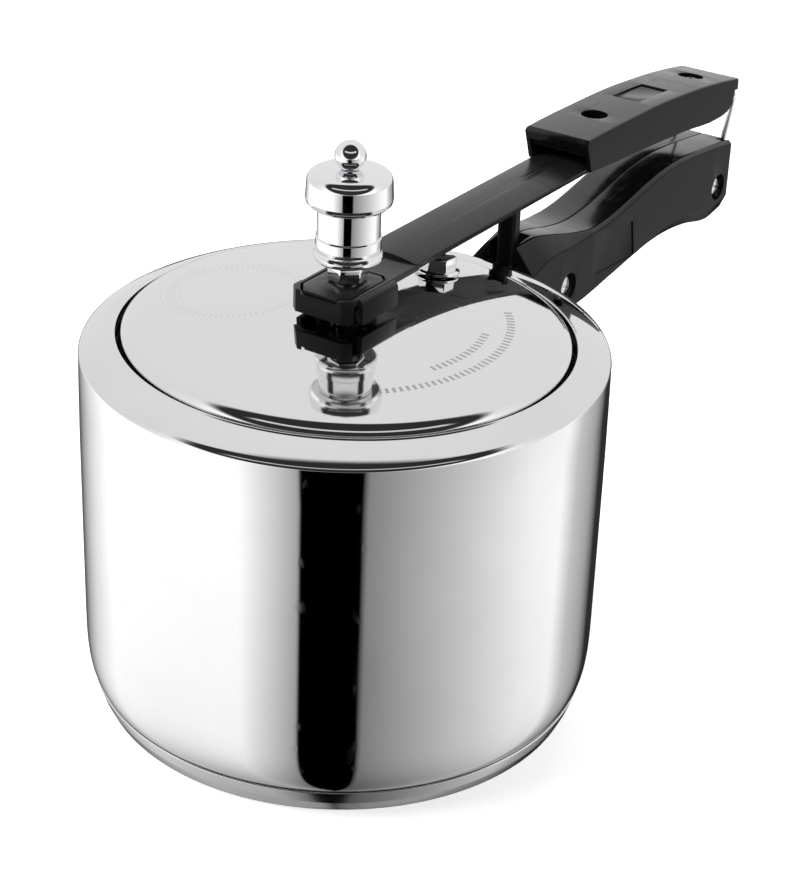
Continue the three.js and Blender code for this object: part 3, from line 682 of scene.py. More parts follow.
def screw_tree():
    """Domed pan-head screws with a cross recess, lying along their own -Z."""
    tree, given, result, line = fastener_tree("pan screws", [
        ("Head Radius", "NodeSocketFloat"), ("Head Height", "NodeSocketFloat"),
        ("Shank Radius", "NodeSocketFloat"), ("Shank Length", "NodeSocketFloat"),
    ])
    sizes = {"Segments": 48, "Rings": 32, "Radius": given["Head Radius"]}
    ball = add(tree, "GeometryNodeMeshUVSphere", sizes)
    squash = maths(tree, "DIVIDE", given["Head Height"], given["Head Radius"])
    size = add(tree, "ShaderNodeCombineXYZ", {"X": 1.0, "Y": 1.0, "Z": squash}).outputs[0]
    dome = add(tree, "GeometryNodeTransform", {"Geometry": ball.outputs["Mesh"], "Scale": size}).outputs[0]
    deep = maths(tree, "MULTIPLY", given["Head Height"], 2.0)
    wide = maths(tree, "MULTIPLY", given["Head Radius"], 1.02)
    head = bool_of(tree, "INTERSECT", dome, [round_bar(tree, wide, deep, given["Head Height"], 48)])
    half = maths(tree, "MULTIPLY", given["Shank Length"], -0.5)
    length = maths(tree, "ADD", given["Shank Length"], 0.0004)
    shank = round_bar(tree, given["Shank Radius"], length, half, 32)
    whole = bool_of(tree, "UNION", head, [shank])
    slots = []
    for long_side in (0, 1):
        reach = maths(tree, "MULTIPLY", given["Head Radius"], 1.15)
        thin = maths(tree, "MULTIPLY", given["Head Radius"], 0.24)
        sides = {"X": reach, "Y": thin} if long_side else {"X": thin, "Y": reach}
        block = add(tree, "ShaderNodeCombineXYZ", {**sides, "Z": deep}).outputs[0]
        cube = add(tree, "GeometryNodeMeshCube", {"Size": block}).outputs["Mesh"]
        above = maths(tree, "MULTIPLY", given["Head Height"], 1.5)
        lift = add(tree, "ShaderNodeCombineXYZ", {"Z": above}).outputs[0]
        slots.append(add(tree, "GeometryNodeTransform", {"Geometry": cube, "Translation": lift}).outputs[0])
    set_at_points(tree, given, result, line, bool_of(tree, "DIFFERENCE", whole, slots))
    return tree


def nut_tree():
    """Hexagon nuts with turned faces, along their own +Z."""
    tree, given, result, line = fastener_tree("hexagon nuts", [
        ("Corner Radius", "NodeSocketFloat"), ("Height", "NodeSocketFloat"), ("Bore", "NodeSocketFloat"),
    ])
    half = maths(tree, "MULTIPLY", given["Height"], 0.5)
    hexagon = round_bar(tree, given["Corner Radius"], given["Height"], half, 6)
    sizes = {"Segments": 48, "Rings": 24, "Radius": given["Corner Radius"]}
    ball = add(tree, "GeometryNodeMeshUVSphere", sizes)
    size = add(tree, "ShaderNodeCombineXYZ", {"X": 1.02, "Y": 1.02, "Z": 0.78}).outputs[0]
    lift = add(tree, "ShaderNodeCombineXYZ", {"Z": half}).outputs[0]
    rounder = add(tree, "GeometryNodeTransform",
                  {"Geometry": ball.outputs["Mesh"], "Scale": size, "Translation": lift}).outputs[0]
    body = bool_of(tree, "INTERSECT", hexagon, [rounder])
    long_bore = maths(tree, "MULTIPLY", given["Height"], 2.0)
    hole = round_bar(tree, given["Bore"], long_bore, half, 40)
    set_at_points(tree, given, result, line, bool_of(tree, "DIFFERENCE", body, [hole]))
    return tree


def fasteners(name, tree, values, material):
    """Runs a fastener tree and turns its result into one plain mesh."""
    made = put(name, bpy.data.meshes.new(name))
    step = made.modifiers.new("fasteners", "NODES")
    step.node_group = tree
    names = {item.name: item.identifier for item in tree.interface.items_tree if item.in_out == "INPUT"}
    for key, value in {**values, "Material": material}.items():
        step[names[key]] = value
    applied(made)
    shaded(made.data, 30)
    return made


# ---------------------------------------------------------------- vessel, base and lid shapes


def oval_rim(point):
    """Pulls the rim's inner edge from a circle to the oval mouth and leaves its outer edge round."""
    x, y, z = point
    radius = math.hypot(x, y)
    if z < OVAL_START_Z or radius >= OVAL_START_RADIUS:
        return point
    mouth = 1 / math.hypot(x / radius / MOUTH_HALF_X, y / radius / MOUTH_HALF_Y)
    share = (OVAL_START_RADIUS - radius) / (OVAL_START_RADIUS - MOUTH_RADIUS)
    scale = (radius + (mouth - MOUTH_RADIUS) * share) / radius
    return (x * scale, y * scale, z)


def oval_lid(point):
    x, y, z = point
    return (x * MOUTH_HALF_X / MOUTH_RADIUS, y * MOUTH_HALF_Y / MOUTH_RADIUS, z)


def lid_height(radius):
    return LID_TOP_Z - LID_DOME * (radius / LID_FLAT) ** 2


def valve_frame():
    """The safety valve stands square to the domed lid."""
    radius = math.hypot(*VALVE_PLACE)
    slope = 2 * LID_DOME * radius / LID_FLAT**2
    normal = Vector((VALVE_PLACE[0] / radius * slope, VALVE_PLACE[1] / radius * slope, 1))
    turn = Vector((0, 0, 1)).rotation_difference(normal).to_matrix().to_4x4()
    return Matrix.Translation(Vector((*VALVE_PLACE, lid_height(radius)))) @ turn


def on_valve(mesh):
    place = valve_frame()
    place.translation = place.translation * MM
    mesh.transform(place)
    return mesh


# ---------------------------------------------------------------- operators


class CookerSizes(bpy.types.PropertyGroup):
    wall_radius: FloatProperty(
        name="Wall radius", description="Outside radius of the vessel's straight wall",
        default=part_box("vessel")[1].x, unit="LENGTH")
    sheet: FloatProperty(
        name="Sheet", description="Thickness of the vessel's steel", default=1.3 * MM, unit="LENGTH")
    cap_radius: FloatProperty(
        name="Weight cap radius", description="Radius of the vent weight's wide cap",
        default=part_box("weight_cap")[1].x, unit="LENGTH")
    lip_round: FloatProperty(
        name="Grip edge", description="Rounding of the moulded grips' edges", default=0.9 * MM, unit="LENGTH")
    turned_steps: IntProperty(
        name="Turned steps", description="Segments of the small turned pieces", default=TURNED_STEPS, min=24)


class CookerColours(bpy.types.PropertyGroup):
    steel: FloatVectorProperty(
        name="Steel", description="Colour of the polished stainless steel", default=(0.8, 0.8, 0.805),
        subtype="COLOR", size=3, min=0, max=1)
    black: FloatVectorProperty(
        name="Black", description="Colour of the grips and the coated steel", default=(0.009, 0.009, 0.0095),
        subtype="COLOR", size=3, min=0, max=1)
    floor: FloatVectorProperty(
        name="Floor", description="Colour of the plain floor", default=(0.93, 0.93, 0.93),
        subtype="COLOR", size=3, min=0, max=1)


class COOKER_OT_stage(bpy.types.Operator):
    """Camera, studio, pale floor and soft lamps"""

    bl_idname = "cooker.stage"
    bl_label = "Stage"

    def execute(self, context):
        make_camera(context)
        make_world(context)
        make_floor(context)
        make_lights()
        return {"FINISHED"}


class COOKER_OT_materials(bpy.types.Operator):
    """All the cooker's materials and the shader groups that they share"""

    bl_idname = "cooker.materials"
    bl_label = "Materials"

    def execute(self, context):
        make_materials(context)
        return {"FINISHED"}


class COOKER_OT_vessel(bpy.types.Operator):
    """The round vessel with its low domed rim and oval mouth"""

    bl_idname = "cooker.vessel"
    bl_label = "Vessel"

    def execute(self, context):
        sizes = context.scene.cooker_sizes
        wall = sizes.wall_radius / MM
        sheet = sizes.sheet / MM
        rim_radius, rim_z, rim_size = RIM_ARC
        outer = [
            Vector((0, FLOOR_Z)),
            *corner_curve(CORNER_START, wall, FLOOR_Z, 30),
            Vector((wall - 0.02, 60)),
            Vector((wall - 0.1, 100)),
            Vector((wall - 0.3, 118)),
            *arc(*EDGE_ARC, 6, 58, 10),
            *arc(*RIM_ARC, 62.5, 84, 16),
            *filleted([
                (79.3, 134.8, 0), (78.1, 135.0, 0.8), (77.6, 135.5, 0.35), (77.05, 135.4, 0.35),
                (77, 134, 0.4), (78.8, 133.6, 0),
            ], closed=False, steps=5),
        ]
        inner = [
            *arc(rim_radius, rim_z, rim_size - sheet, 84, 64, 12),
            Vector((wall - sheet - 0.4, 129.4)),
            Vector((wall - sheet - 0.1, 100)),
            *reversed(corner_curve(CORNER_START - 0.6, wall - sheet, FLOOR_Z + sheet, 20)),
            Vector((0, FLOOR_Z + sheet)),
        ]
        mesh = revolved("vessel_shell", outer + inner, bend=oval_rim)
        piece(put("vessel_shell", mesh), finish("vessel steel"), "vessel", "polished_steel", "vessel")
        return {"FINISHED"}


class COOKER_OT_base(bpy.types.Operator):
    """The bonded base: the steel cap and, hidden in it, the aluminium core"""

    bl_idname = "cooker.base"
    bl_label = "Base"

    def execute(self, context):
        profile = filleted([
            (0, 0, 0), (84.4, 0, 1.2), (86.5, 4.6, 5), (88, 9.3, 0.3), (87.5, 9.65, 0.2),
            (85.9, 5, 4), (83.9, 0.9, 1), (0, 0.9, 0),
        ], closed=False)
        mesh = revolved("base_dish", profile)
        piece(put("base_dish", mesh), finish("base steel"), "vessel", "base_steel", "base_cap")
        carried("base_core", finish("aluminium core"))
        return {"FINISHED"}


class COOKER_OT_lid(bpy.types.Operator):
    """The domed oval lid and its rubber sealing ring"""

    bl_idname = "cooker.lid"
    bl_label = "Lid"

    def execute(self, context):
        dome = [Vector((r, lid_height(r))) for r in (4.9, 12, 20, 28, 36, 44, 52, 60, 66)]
        under = [Vector((p.x, p.y - LID_SHEET)) for p in reversed(dome)]
        shoulder_z = lid_height(LID_FLAT) - LID_SHOULDER
        neck = LID_FLAT + LID_SHOULDER
        flange = LID_FLANGE_Z
        profile = [
            *dome,
            *arc(LID_FLAT, shoulder_z, LID_SHOULDER, 82, 0, 16),
            *filleted([
                (neck, flange + 2, 0), (neck, flange, 0.8), (79.9, flange, 0.5), (79.9, flange - 4.8, 0.2),
                (78.9, flange - 4.8, 0.2), (78.9, flange - 1.1, 0.4), (neck - 1.1, flange - 1.1, 1.6),
                (neck - LID_SHEET, flange + 1.4, 0),
            ], closed=False),
            *arc(LID_FLAT, shoulder_z, LID_SHOULDER - LID_SHEET, 0, 82, 12),
            *under,
        ]
        shell = put("lid_shell", revolved("lid_shell", profile, bend=oval_lid, closed=True))
        hole = on_valve(cylinder("valve_hole", 4.6, (0, 0, -6), (0, 0, 6)))
        combined(shell, "DIFFERENCE", [hole])
        shaded(shell.data)
        piece(shell, finish("lid steel"), "lid", "lid_steel", "lid_plate")
        section = filleted([
            (77.4, flange + 0.65, 0.2), (80.3, flange + 0.65, 0.3), (80.3, flange - 5.3, 0.4),
            (82.1, flange - 5.3, 0.5), (82.1, flange + 1.6, 0.7), (81.2, flange + 2.15, 0.5),
            (77.4, flange + 2.15, 0.4),
        ], steps=4)
        ring = put("sealing_ring", revolved("sealing_ring", section, bend=oval_lid, closed=True))
        piece(ring, finish("seal rubber"), "lid", "rubber", "gasket")
        return {"FINISHED"}


class COOKER_OT_vent(bpy.types.Operator):
    """The vent pipe, its nut above the bracket and the lock nut and washer under the lid"""

    bl_idname = "cooker.vent"
    bl_label = "Vent"

    def execute(self, context):
        steps = context.scene.cooker_sizes.turned_steps
        pipe = filleted([
            (1.3, 136.05, 0), (4.5, 136.05, 0.4), (4.5, 168.6, 0.4), (3.4, 170.4, 0.3), (3.2, 173.4, 0.3),
            (2.2, 175.95, 0.3), (1.3, 175.95, 0),
        ], steps=3)
        tube = put("vent_tube", revolved("vent_tube", pipe, steps, closed=True))
        piece(tube, finish("bright chrome"), "lid", "chrome", "vent_pipe")
        low, high = low_high("vent_nut")
        nut = put("vent_top_nut", prism("vent_top_nut", hexagon_points(12, 12), "Z", low.z, high.z))
        edge_rounded(nut, 0.7, 3)
        combined(nut, "DIFFERENCE", [cylinder("bore", 4.8, (0, 0, low.z - 1), (0, 0, high.z + 1))])
        shaded(nut.data, 30)
        piece(nut, finish("bright chrome"), "lid", "chrome", "vent_nut")
        carried("vent_washer", finish("zinc steel"))
        carried("vent_lock_nut", finish("zinc steel"))
        return {"FINISHED"}


class COOKER_OT_safety_valve(bpy.types.Operator):
    """The safety valve on the lid: flanged hexagon body, fusible plug, washer and nut"""

    bl_idname = "cooker.safety_valve"
    bl_label = "Safety valve"

    def execute(self, context):
        steps = context.scene.cooker_sizes.turned_steps
        head = put("valve_body", prism("valve_body", hexagon_points(11.5), "Z", 1.2, 6.35))
        edge_rounded(head, 0.6, 3)
        flange = revolved("flange", filleted([
            (0, -6.4, 0), (4.2, -6.4, 0.4), (4.2, 0.5, 0.1), (7.95, 0.5, 0.2), (7.95, 1.3, 0.3),
            (7.1, 1.9, 0.3), (0, 1.9, 0),
        ], closed=False, steps=4), steps)
        combined(head, "UNION", [flange])
        combined(head, "DIFFERENCE", [cylinder("bore", 2.4, (0, 0, -7), (0, 0, 7))])
        on_valve(shaded(head.data, 30))
        piece(head, finish("bright chrome"), "lid", "chrome", "safety_valve_body")
        core = revolved("valve_plug", filleted([
            (0, -5.4, 0), (2.1, -5.4, 0.2), (2.1, 5.5, 0.3), (0, 5.9, 0)], closed=False, steps=4), 48)
        plug = put("valve_plug", on_valve(core))
        piece(plug, finish("fusible metal"), "lid", "fusible_metal", "fusible_plug")
        carried("safety_valve_washer", finish("seal rubber"))
        carried("safety_valve_nut", finish("zinc steel"))
        return {"FINISHED"}


class COOKER_OT_weight(bpy.types.Operator):
    """The vent weight: turned body, wide domed cap and ball knob"""

    bl_idname = "cooker.weight"
    bl_label = "Vent weight"

    def execute(self, context):
        sizes = context.scene.cooker_sizes
        steps = sizes.turned_steps
        cap = sizes.cap_radius / MM
        low, high = low_high("weight_cap")
        bottom = low_high("weight_body")[0].z
        top = low.z - 0.3
        body = filleted([
            (0, 185.6, 0), (8, 185.6, 0.2), (8, top, 0.1), (10.6, top, 0.25), (10.6, 170.9, 0.2),
            (11.1, 170.5, 0.2), (11.1, 166.1, 0.2), (10.6, 165.4, 0.25), (11.3, 164.7, 0.2),
            (11.6, 164.3, 0.3), (11.6, 163.1, 0.4), (10.9, bottom, 0.3), (6.2, bottom, 0.4),
            (5.6, 163.4, 0.4), (5.6, 174.6, 0), (2.9, 176.4, 0), (1.8, 177.6, 0), (0, 177.6, 0),
        ], closed=False, steps=5)
        barrel = put("weight_barrel", revolved("weight_barrel", body, steps))
        piece(barrel, finish("bright chrome"), "weight", "chrome", "weight_body")
        dome = filleted([
            (0, 185.9, 0), (8.4, 185.9, 0.1), (8.4, low.z, 0.2), (12.9, low.z, 1.2),
            (cap - 0.3, low.z + 1.3, 1.2), (cap, low.z + 2.8, 2), (cap - 0.5, high.z - 0.9, 4.6),
            (8, high.z - 0.2, 6), (0, high.z, 0),
        ], closed=False, steps=12)
        cap_mesh = revolved("weight_dome", dome, steps)
        piece(put("weight_dome", cap_mesh), finish("bright chrome"), "weight", "chrome", "weight_cap")
        knob_low, knob_high = low_high("weight_knob")
        ball = (knob_high.x - knob_low.x) / 2
        centre_z = knob_high.z - ball
        knob = [
            Vector((0, knob_low.z)),
            Vector((3, knob_low.z)),
            *arc(0, centre_z, ball, -55, 90, 32)[:-1],
            Vector((0, knob_high.z)),
        ]
        knob_mesh = revolved("weight_ball", knob, steps)
        piece(put("weight_ball", knob_mesh), finish("bright chrome"), "weight", "chrome", "weight_knob")
        return {"FINISHED"}


# ---------------------------------------------------------------- lever


def bracket_outline(margin):
    """The bracket plate's outline, which the saddle's window follows with a margin."""
    front = low_high("lid_bracket")[0].x - margin
    side = 9.8 + margin
    back = 9.4 + margin
    half = [(back, 7 + margin), (back - 2.5, side), (front + 4.4, side), (front, 6.6 + margin)]
    return half + [(x, -y) for x, y in reversed(half)]


def saddle_mesh(made):
    """Adds the folded saddle at the bar's front: plate, window, ears and front skirt."""
    front = low_high("lever_bar")[0].x
    ear = low_high("lever_bar")[1].y
    length = 10.3
    top = SADDLE_TOP_Z
    bottom = SADDLE_BOTTOM_Z
    foot = bottom - 1.1
    thick = 2.2
    folded = filleted([
        (-ear, foot, 0.3), (-ear, top, 3.2), (ear, top, 3.2), (ear, foot, 0.3), (ear - 2, foot, 0.3),
        (ear - 2, top - thick, 1.2), (2 - ear, top - thick, 1.2), (2 - ear, foot, 0.3),
    ], steps=8)
    ears = prism("ears", folded, "X", -length, length)
    side = [(front, 9.2), (-13.9, 12.0), (-length + 0.5, 12.0), (-length + 0.5, BAR_HALF), (26, BAR_HALF)]
    flat_outline = side + [(x, -y) for x, y in reversed(side)]
    flat = prism("flat", flat_outline, "Z", top - thick, top)
    fold = filleted([
        (front, bottom, 0.3), (front, top - 0.9, 1.4), (front + 4, top - 0.9, 0), (front + 4, top - 1.9, 0),
        (front + 2, top - 1.9, 0.6), (front + 2, bottom, 0.3),
    ], steps=5)
    skirt = prism("skirt", fold, "Y", -9.2, 9.2)
    corners = []
    for way in (-1, 1):
        strip = [(front, 9.2 * way), (-13.8, 12.2 * way), (-12.3, 10.9 * way), (front + 2, 8.4 * way)]
        corners.append(prism("corner", strip, "Z", bottom, top - 0.5))
    combined(made, "UNION", [flat, ears, skirt, *corners])
    window = prism("window", bracket_outline(0.7), "Z", 153.1, top + 1)
    lower = [(max(x, front + 2.4), y) for x, y in bracket_outline(0.7)]
    return combined(made, "DIFFERENCE", [window, prism("under window", lower, "Z", top - thick - 1.5, 153.6)])


class COOKER_OT_lever_bar(bpy.types.Operator):
    """The arched bar with its saddle, the bracket in the saddle's window and the fulcrum post"""

    bl_idname = "cooker.lever_bar"
    bl_label = "Lever bar"

    def execute(self, context):
        radius = (BAR_HALF**2 + BAR_ARCH**2) / (2 * BAR_ARCH)
        spread = math.degrees(math.asin(BAR_HALF / radius))
        centre = BAR_TOP_Z - radius
        upper = arc(0, centre, radius, 90 + spread, 90 - spread, 24)
        lower = arc(0, centre, radius - BAR_THICK, 90 - spread, 90 + spread, 24)
        end = low_high("lever_bar")[1].x
        bar = put("arched_bar", prism("arched_bar", upper + lower, "X", 24, end))
        saddle_mesh(bar)
        pivot = cylinder("pivot", 1.8, (0, -12.6, PIVOT_Z), (0, 12.6, PIVOT_Z))
        holes = [cylinder("hole", 2.5, (x, 0, 140), (x, 0, 170)) for x, _ in GRIP_SCREWS]
        combined(bar, "DIFFERENCE", [pivot, *holes])
        edge_rounded(bar, 0.35)
        piece(bar, finish("black steel"), "lever", "black_steel", "lever_bar")
        self.bracket()
        self.post()
        for side, way in (("near", -1), ("far", 1)):
            rod = cylinder("pin", 1.5, (0, 6.2 * way, PIVOT_Z), (0, 12.5 * way, PIVOT_Z))
            pin = put(f"ear_pin_{side}", rod)
            piece(pin, finish("zinc steel"), "lever", "zinc_steel", f"pivot_pin_{side}")
        return {"FINISHED"}

    def bracket(self):
        low = low_high("lid_bracket")[0]
        top = SADDLE_TOP_Z
        plate = put("lid_bridge", prism("lid_bridge", bracket_outline(0), "Z", top - 1.1, top))
        inner = prism("under", bracket_outline(-2.2), "Z", top - 2.6, top - 1)
        legs = [paired_box("leg", (-6.5, 6.5), (6.4, 8.2), (low.z, top - 2), way) for way in (-1, 1)]
        combined(plate, "UNION", [inner, *legs])
        vent = cylinder("vent", 4.9, (0, 0, 140), (0, 0, 160))
        pivot = cylinder("pivot", 1.8, (0, -12, PIVOT_Z), (0, 12, PIVOT_Z))
        combined(plate, "DIFFERENCE", [vent, pivot])
        edge_rounded(plate, 0.25)
        piece(plate, finish("black steel"), "lid", "black_steel", "lid_bracket")

    def post(self):
        low, high = low_high("fulcrum_post")
        half = high.y
        depth = 2.3
        wall = 1.3
        front = FULCRUM[0] - depth
        back = FULCRUM[0] + depth
        channel = filleted([
            (front, -half, 0.5), (back, -half, 1.6), (back, half, 1.6), (front, half, 0.5),
            (front, half - wall, 0.5), (back - wall, half - wall, 0.6), (back - wall, wall - half, 0.6),
            (front, wall - half, 0.5),
        ], steps=6)
        post = put("rocker_post", prism("rocker_post", channel, "Z", FULCRUM[1], high.z))
        lobe_radius = FULCRUM[1] - low.z
        lobes = []
        for way in (-1, 1):
            lobes.append(cylinder("lobe", lobe_radius, (FULCRUM[0], (half - wall) * way, FULCRUM[1]),
                                  (FULCRUM[0], half * way, FULCRUM[1])))
        combined(post, "UNION", lobes)
        pin = cylinder("pin", 2.3, (FULCRUM[0], -10, FULCRUM[1]), (FULCRUM[0], 10, FULCRUM[1]))
        combined(post, "DIFFERENCE", [pin])
        edge_rounded(post, 0.2)
        piece(post, finish("black steel"), "lever", "black_steel", "fulcrum_post")
        carried("fulcrum_pin", finish("zinc steel"))


# ---------------------------------------------------------------- grips

GRIP_TOP = [
    (135.6, 167.3), (150, 167.4), (166, 167.2), (198.2, 166.3), (229.6, 163.7), (250, 161.2), (264.9, 158.8),
]
GRIP_TAIL_RISE = 5.2
GRIP_BOTTOM = [(135.6, 154.2), (162.8, 152.1), (186.2, 150.7), (218.6, 148.2), (240, 145.7), (250, 145.4)]
HANDLE_TOP = [
    (100.5, 134.3), (112, 135.3), (122, 133.6), (133.3, 130.9), (147.4, 128.9), (161.5, 129.5),
    (175.5, 131.6), (189.9, 134.2), (204.7, 136.1), (220.2, 136.5), (244.8, 134.3), (264, 131.8),
]
HANDLE_BOTTOM = [
    (100.5, 102.2), (112, 100.6), (139, 100.4), (164, 103.4), (189, 106.4), (210, 106.4),
    (230, 103.8), (250.5, 99.2), (264, 100.6),
]


def grip_section(x, top, bottom, half, edge):
    """A rounded U section of the grip's outer skin at x."""
    outline = filleted([
        (-half, bottom, 0.7), (-half + 0.1, top, edge), (half - 0.1, top, edge), (half, bottom, 0.7),
    ], steps=6)
    return [(x, p.x, p.y) for p in outline]


class COOKER_OT_lid_grip(bpy.types.Operator):
    """The moulded grip over the rear of the bar"""

    bl_idname = "cooker.lid_grip"
    bl_label = "Lid grip"

    def execute(self, context):
        edge = context.scene.cooker_sizes.lip_round / MM
        high = low_high("lid_grip")[1]
        half = high.y
        tops = smooth_line(GRIP_TOP, 110)
        bottoms = smooth_line(GRIP_BOTTOM, 110)
        rings = []
        for x, top in tops:
            bottom = min(bottoms, key=lambda p: abs(p[0] - x))[1]
            last_x, last_z = GRIP_BOTTOM[-1]
            if x > last_x:
                share = (x - last_x) / (high.x - last_x)
                bottom = last_z + GRIP_TAIL_RISE * share**2.4
            rings.append(grip_section(x, top, bottom, half, edge))
        grip = put("grip_shell", lofted("grip_shell", rings))
        combined(grip, "DIFFERENCE", self.hollows(half))
        bosses = [cylinder("boss", 6.6, (x, 0, BAR_TOP_Z + 0.3), (x, 0, top - 1)) for x, top in GRIP_SCREWS]
        ledge = box("front ledge", (138.2, -12.6, 160.4), (141, 12.6, 163.4))
        combined(grip, "UNION", [ledge, *bosses])
        cuts = []
        for x, top in GRIP_SCREWS:
            cuts.append(cylinder("seat", 5.2, (x, 0, 158.4), (x, 0, top + 0.9), 64, flare=0.5))
            cuts.append(cylinder("shank", 2.5, (x, 0, 140), (x, 0, 170)))
        combined(grip, "DIFFERENCE", cuts)
        edge_rounded(grip, 0.3, 2, 40)
        piece(grip, finish("moulded bakelite"), "lever", "bakelite", "lid_grip")
        return {"FINISHED"}

    def hollows(self, half):
        inside = half - 1.8
        cavity = [
            (130, 162.6), (166, 162.6), (198.2, 161.8), (229.6, 159.9), (255.4, 157.6), (255.4, 140),
            (130, 140),
        ]
        cuts = [prism("cavity", cavity, "Y", -inside, inside)]
        slant = [(126, 170), (136.6, 170), (135.6, 166.8), (140.6, 153.0), (140.6, 148), (126, 148)]
        cuts.append(prism("front slant", slant, "Y", -20, 20))
        brow = [(130, 171), (141.6, 171), (134.9, 164.9), (130, 164.9)]
        cuts.append(prism("front brow", brow, "Y", -20, 20))
        label = box("label", (-12.5, -6, -0.9), (12.5, 6, 1.5))
        turn = Matrix.Rotation(0.075, 4, "Y")
        label.transform(Matrix.Translation(Vector((202.5, 0, 166.1)) * MM) @ turn)
        cuts.append(label)
        cuts.append(box("loop notch", (262.2, -20, 150.4), (270, 20, 154.2)))
        for way in (-1, 1):
            cuts.append(paired_box("leg slot", (261.2, 270), (10, 20), (140, 152), way))
        return cuts


def handle_half(name, way, edge):
    """One moulded half of the body handle; way is -1 on the near side and 1 on the far side."""
    half = 14.0
    tops = smooth_line(HANDLE_TOP, 130)
    bottoms = smooth_line(HANDLE_BOTTOM, 130)
    rings = []
    for (x, top), (_, bottom) in zip(tops, bottoms):
        block = min(1.0, max(0.0, (145 - x) / 44))
        facet_in = 1.5 + 6.5 * block
        facet_down = 1.5 + 8.5 * block
        scoop = min(1.0, max(0.0, (x - 186) / 60))
        under_in = 1.2 + 1.6 * scoop
        under_up = 1.2 + 5.4 * scoop
        corners = [
            (0.15, top, 0.4), (half - facet_in, top, edge + 0.6), (half, top - facet_down, edge + 0.6),
            (half, bottom + under_up, 1.2), (half - under_in, bottom, 1.2), (0.15, bottom, 0.3),
        ]
        rings.append([(x, p.x * way, p.y) for p in filleted(corners, steps=6)])
    made = put(name, lofted(name, rings))
    loop_x, loop_z = LOOP_PIVOT
    cuts = [
        paired_box("post slot", (90, 112), (-1, 5.4), (107, 150), way),
        paired_box("cheek pocket", (90, 142.5), (-1, 7.6), (103, 128), way),
        paired_box("loop slot", (258.8, 270), (8.6, 12.3), (118.6, 150), way),
        cylinder("loop hole", 1.6, (loop_x, 5.6 * way, loop_z), (loop_x, 9 * way, loop_z)),
        cylinder("fulcrum hole", 2.3, (FULCRUM[0], 5 * way, FULCRUM[1]), (FULCRUM[0], 9.4 * way, FULCRUM[1])),
    ]
    for x, z in HANDLE_SCREWS:
        cuts.append(cylinder("shank", 2.4, (x, -20, z), (x, 20, z)))
        cuts.append(cylinder("seat", 5.6, (x, 10.6 * way, z), (x, 15 * way, z), 64, flare=0.5))
    if way < 0:
        label = [(146.6, 127), (178, 122.4), (181.2, 106.6), (149.4, 108.8)]
        cuts.append(prism("label", label, "Y", -half - 1, -half + 0.6))
    return combined(made, "DIFFERENCE", cuts)


class COOKER_OT_body_handle(bpy.types.Operator):
    """The two moulded halves of the body handle and the steel bracket between them"""

    bl_idname = "cooker.body_handle"
    bl_label = "Body handle"

    def execute(self, context):
        edge = context.scene.cooker_sizes.lip_round / MM
        for side, way in (("near", -1), ("far", 1)):
            made = handle_half(f"handle_shell_{side}", way, edge)
            edge_rounded(made, 0.3, 2, 40)
            piece(made, finish("moulded bakelite"), "vessel", "bakelite", f"body_handle_{side}")
        self.bracket()
        return {"FINISHED"}

    def bracket(self):
        back = low_high("handle_bracket")[1].x
        pad = put("handle_steel", box("handle_steel", (86, -13, 104), (93.4, 13, 125)))
        vessel = cylinder("wall", 90.5, (0, 0, 80), (0, 0, 140), ROUND_STEPS)
        combined(pad, "DIFFERENCE", [vessel])
        cheeks = [paired_box("cheek", (91, back), (5.6, 7.2), (105, 126), way) for way in (-1, 1)]
        combined(pad, "UNION", cheeks)
        pin = cylinder("pin", 2.3, (FULCRUM[0], -10, FULCRUM[1]), (FULCRUM[0], 10, FULCRUM[1]))
        x, z = HANDLE_SCREWS[0]
        combined(pad, "DIFFERENCE", [pin, cylinder("screw", 2.4, (x, -10, z), (x, 10, z))])
        edge_rounded(pad, 0.4)
        piece(pad, finish("black steel"), "vessel", "black_steel", "handle_bracket")


class COOKER_OT_locking_loop(bpy.types.Operator):
    """The bright wire loop between the body handle and the grip"""

    bl_idname = "cooker.locking_loop"
    bl_label = "Locking loop"

    def execute(self, context):
        pivot = Vector(LOOP_PIVOT)
        top = Vector((263.85, 152.2))
        wire = 1.2

        def at(height, y):
            share = (height - pivot.y) / (top.y - pivot.y)
            return Vector((pivot.x + (top.x - pivot.x) * share, y, height))

        half = [
            at(pivot.y, 6.2), at(pivot.y, 9.6), at(123, 10.4), at(132, 10.9), at(146, 12.2), at(151.8, 12.7),
            at(top.y, 11.6), at(top.y, 6),
        ]
        points = half + [Vector((p.x, -p.y, p.z)) for p in reversed(half)]
        curve = bpy.data.curves.new("wire", "CURVE")
        curve.dimensions = "3D"
        curve.bevel_depth = wire * MM
        curve.bevel_resolution = 6
        curve.use_fill_caps = True
        spline = curve.splines.new("NURBS")
        spline.points.add(len(points) - 1)
        for spot, point in zip(spline.points, points):
            spot.co = (*(point * MM), 1)
        spline.order_u = 3
        spline.use_endpoint_u = True
        spline.resolution_u = 12
        holder = bpy.data.objects.new("wire", curve)
        bpy.context.scene.collection.objects.link(holder)
        graph = bpy.context.evaluated_depsgraph_get()
        mesh = bpy.data.meshes.new_from_object(holder.evaluated_get(graph))
        bpy.data.objects.remove(holder)
        bpy.data.curves.remove(curve)
        loop = put("lock_wire", shaded(mesh))
        piece(loop, finish("bright chrome"), "loop", "chrome", "locking_loop")
        return {"FINISHED"}


